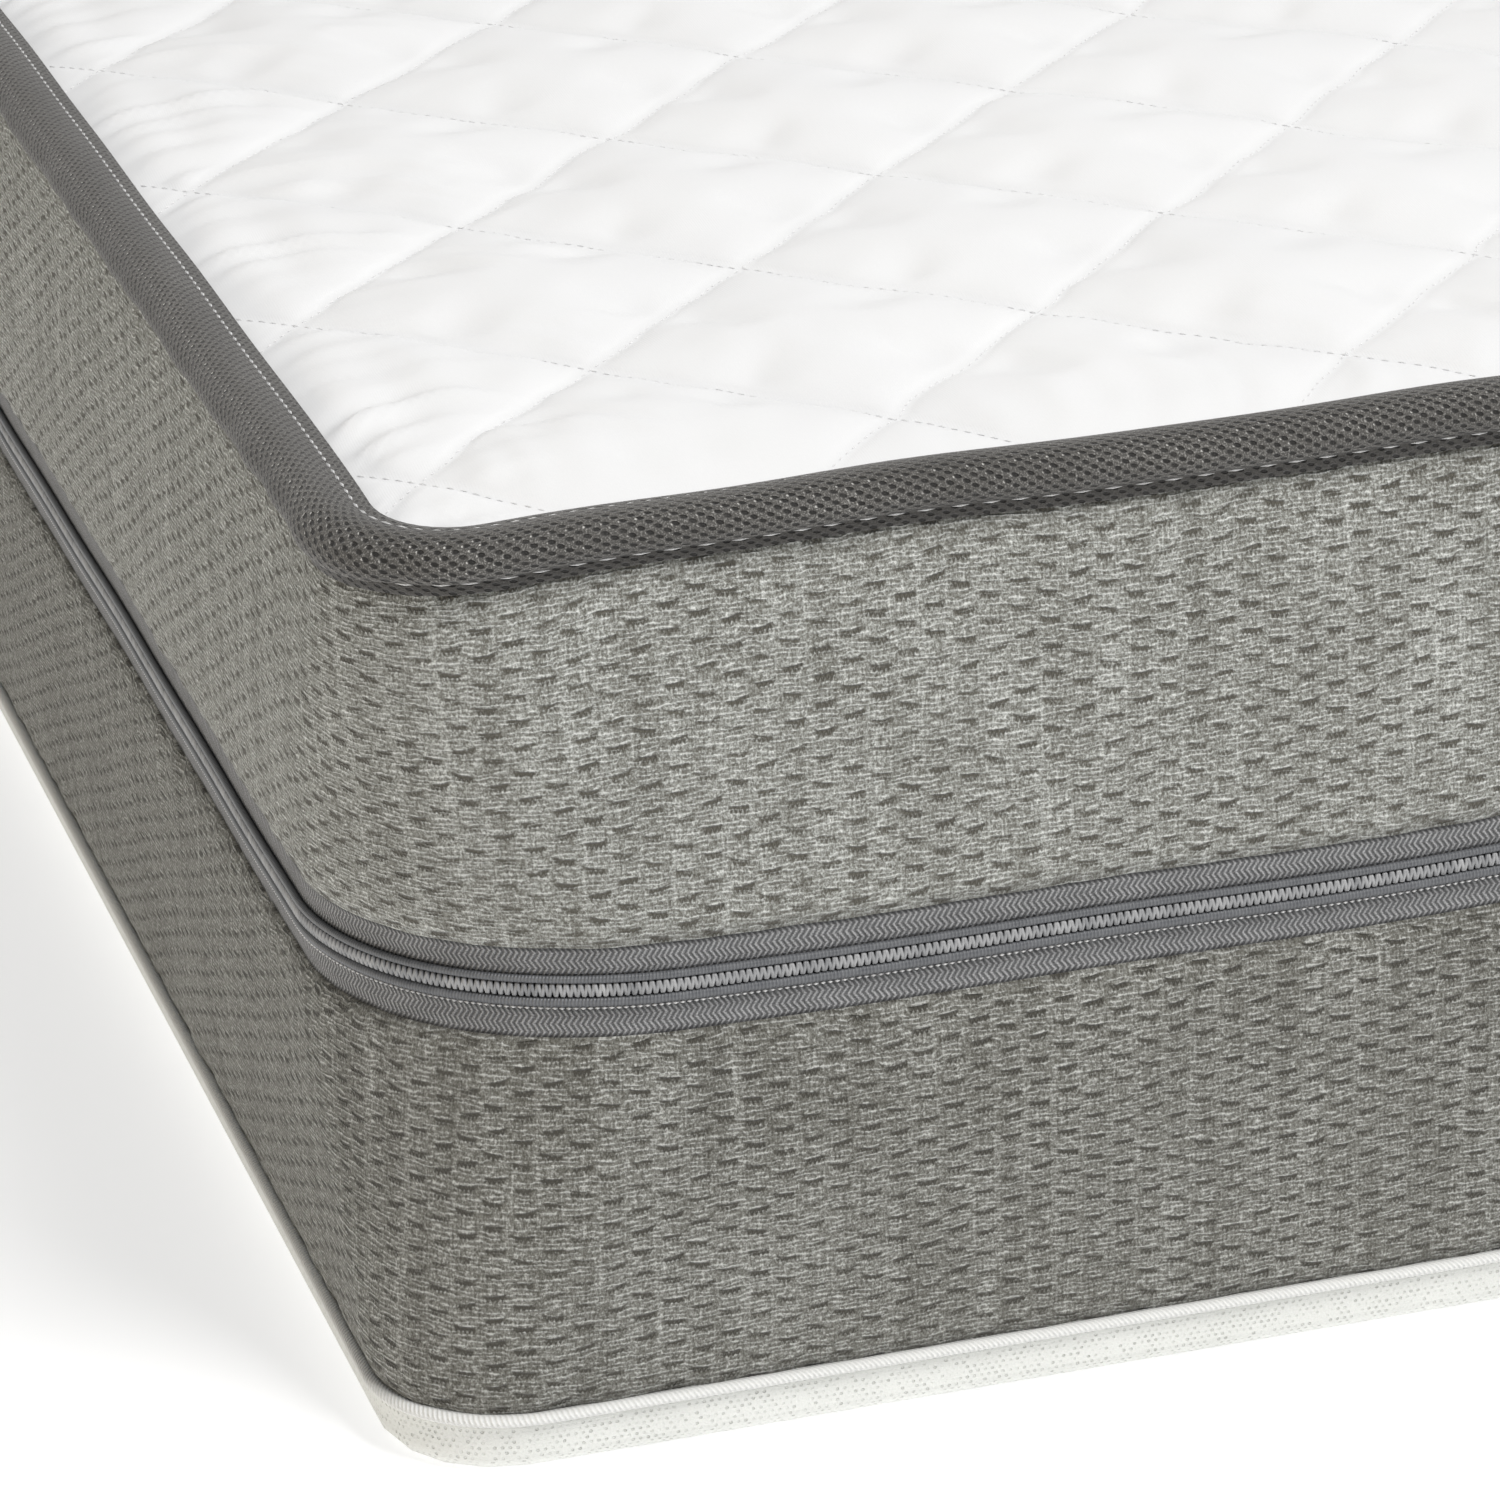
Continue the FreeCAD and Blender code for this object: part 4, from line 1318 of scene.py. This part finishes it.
def make_light(name, place_m, target_m, size, power, tint):
    data = bpy.data.lights.new(name, "AREA")
    data.shape = "RECTANGLE"
    data.size, data.size_y = size
    data.energy = power
    data.color = tint
    lamp = add_object(name, data)
    lamp.location = place_m
    lamp.rotation_euler = (Vector(target_m) - Vector(place_m)).to_track_quat("-Z", "Y").to_euler()


# Strengths of the sky, of the floor's glow and, in watts, of the lamps, which are placed in metres
SKY = 0.31
FLOOR_GLOW = 0.60
FLOOR_HALF = 20.0
LAMPS = (
    ("key", (1.2, -3.1, 4.3), (0.0, -0.2, 0.1), (1.8, 1.8), 214, (1.0, 0.99, 0.975)),
    ("side", (-4.5, -1.0, 0.5), (-0.5, -0.7, 0.1), (2.0, 1.0), 24, (1.0, 0.80, 0.50)),
    ("back", (1.5, 5.0, 2.2), (0.0, 0.5, 0.1), (2.4, 1.6), 40, (1.0, 0.99, 0.975)),
)


def make_stage():
    world = bpy.data.worlds.new("studio")
    world.use_nodes = True
    background = world.node_tree.nodes["Background"]
    background.inputs["Color"].default_value = (1.0, 1.0, 1.0, 1)
    background.inputs["Strength"].default_value = SKY
    bpy.context.scene.world = world
    for lamp in LAMPS:
        make_light(*lamp)
    mesh = bpy.data.meshes.new("floor")
    corners = [(x * FLOOR_HALF, y * FLOOR_HALF, 0) for x, y in ((-1, -1), (1, -1), (1, 1), (-1, 1))]
    mesh.from_pydata(corners, [], [(0, 1, 2, 3)])
    mesh.materials.append(Paint("floor_paint").finish(
        Base_Color=(0.62, 0.62, 0.62, 1), Roughness=0.9,
        Emission_Color=(1, 1, 1, 1), Emission_Strength=FLOOR_GLOW))
    add_object("floor", mesh)
    bpy.context.scene.view_settings.view_transform = "Standard"


# Everything together

make_camera()
make_stage()

white_thread = thread_paint("white_thread", (0.76, 0.76, 0.76), (0.92, 0.92, 0.92))
mesh_paint = white_mesh_paint()
upper_knit = knit_paint("upper_knit", 5.6, UPPER_SHADES, 0.86)
lower_knit = knit_paint("lower_knit", 4.85, LOWER_STOPS_IN_PAINTED_SHADE, 0.98)
border_foam_paint = foam_paint("border_foam", (0.50, 0.49, 0.45), (0.78, 0.77, 0.73), 1.6, 0.5)
tape = tape_paint()
coil = coil_paint()

bottom_panel(mesh_paint, bottom_hem(hem_paint()))
knit_border("lower_border", HEM_TOP, LOWER_KNIT_TOP, "cover_bottom", "lower_knit", lower_knit)
border_foam("lower_border_foam", "cover_bottom", border_foam_paint)
blank_label(cloth_paint("label_fabric", (0.60, 0.60, 0.58), (0.85, 0.85, 0.83), 0.6, 0.1))

FOAMS = (
    ("base_foam", CORE_EDGE - SOCK, CUT_EDGE, (0.55, 0.52, 0.42), (0.80, 0.77, 0.66), 2.4, 0.9),
    ("comfort_foam", CUT_EDGE, CUT_EDGE, (0.50, 0.60, 0.62), (0.72, 0.80, 0.81), 1.8, 0.7),
    ("memory_foam", CUT_EDGE, CORE_EDGE - SOCK, (0.62, 0.62, 0.60), (0.85, 0.85, 0.83), 1.1, 0.5),
)
for foam_name, foam_low, foam_high, *colours_and_pores in FOAMS:
    foam(foam_name, foam_low, foam_high, foam_paint(foam_name, *colours_and_pores))
fire_sock(sock_paint())

top_backing(cloth_paint("backing", (0.60, 0.60, 0.58), (0.84, 0.84, 0.82), 3.0, 0.3))
top_wadding(cloth_paint("wadding", (0.78, 0.78, 0.78), (0.92, 0.92, 0.92), 5.0, 1.0))
top_panel(quilt_paint())
quilting_thread(white_thread)
knit_border("upper_border", UPPER_KNIT_BOTTOM, TUCKED_KNIT_TOP, "cover_top", "upper_knit", upper_knit)
border_foam("upper_border_foam", "cover_top", border_foam_paint)
edge_binding(binding_paint())
binding_stitching(white_thread)
border_stitching(white_thread)

zip_tape("zip_lower_tape", False, tape)
zip_tape("zip_upper_tape", True, tape)
zip_coil("zip_lower_coil", False, coil)
zip_coil("zip_upper_coil", True, coil)
zip_garage(cloth_paint("garage_fabric", (0.06, 0.058, 0.055), (0.20, 0.195, 0.185), 0.9, 0.3))

metal = metal_paint()
for node in ("zip_lower_stops", "zip_upper_stops", "slider_body", "slider_bail", "pull_tab"):
    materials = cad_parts[node].data.materials
    materials.clear()
    materials.append(metal)
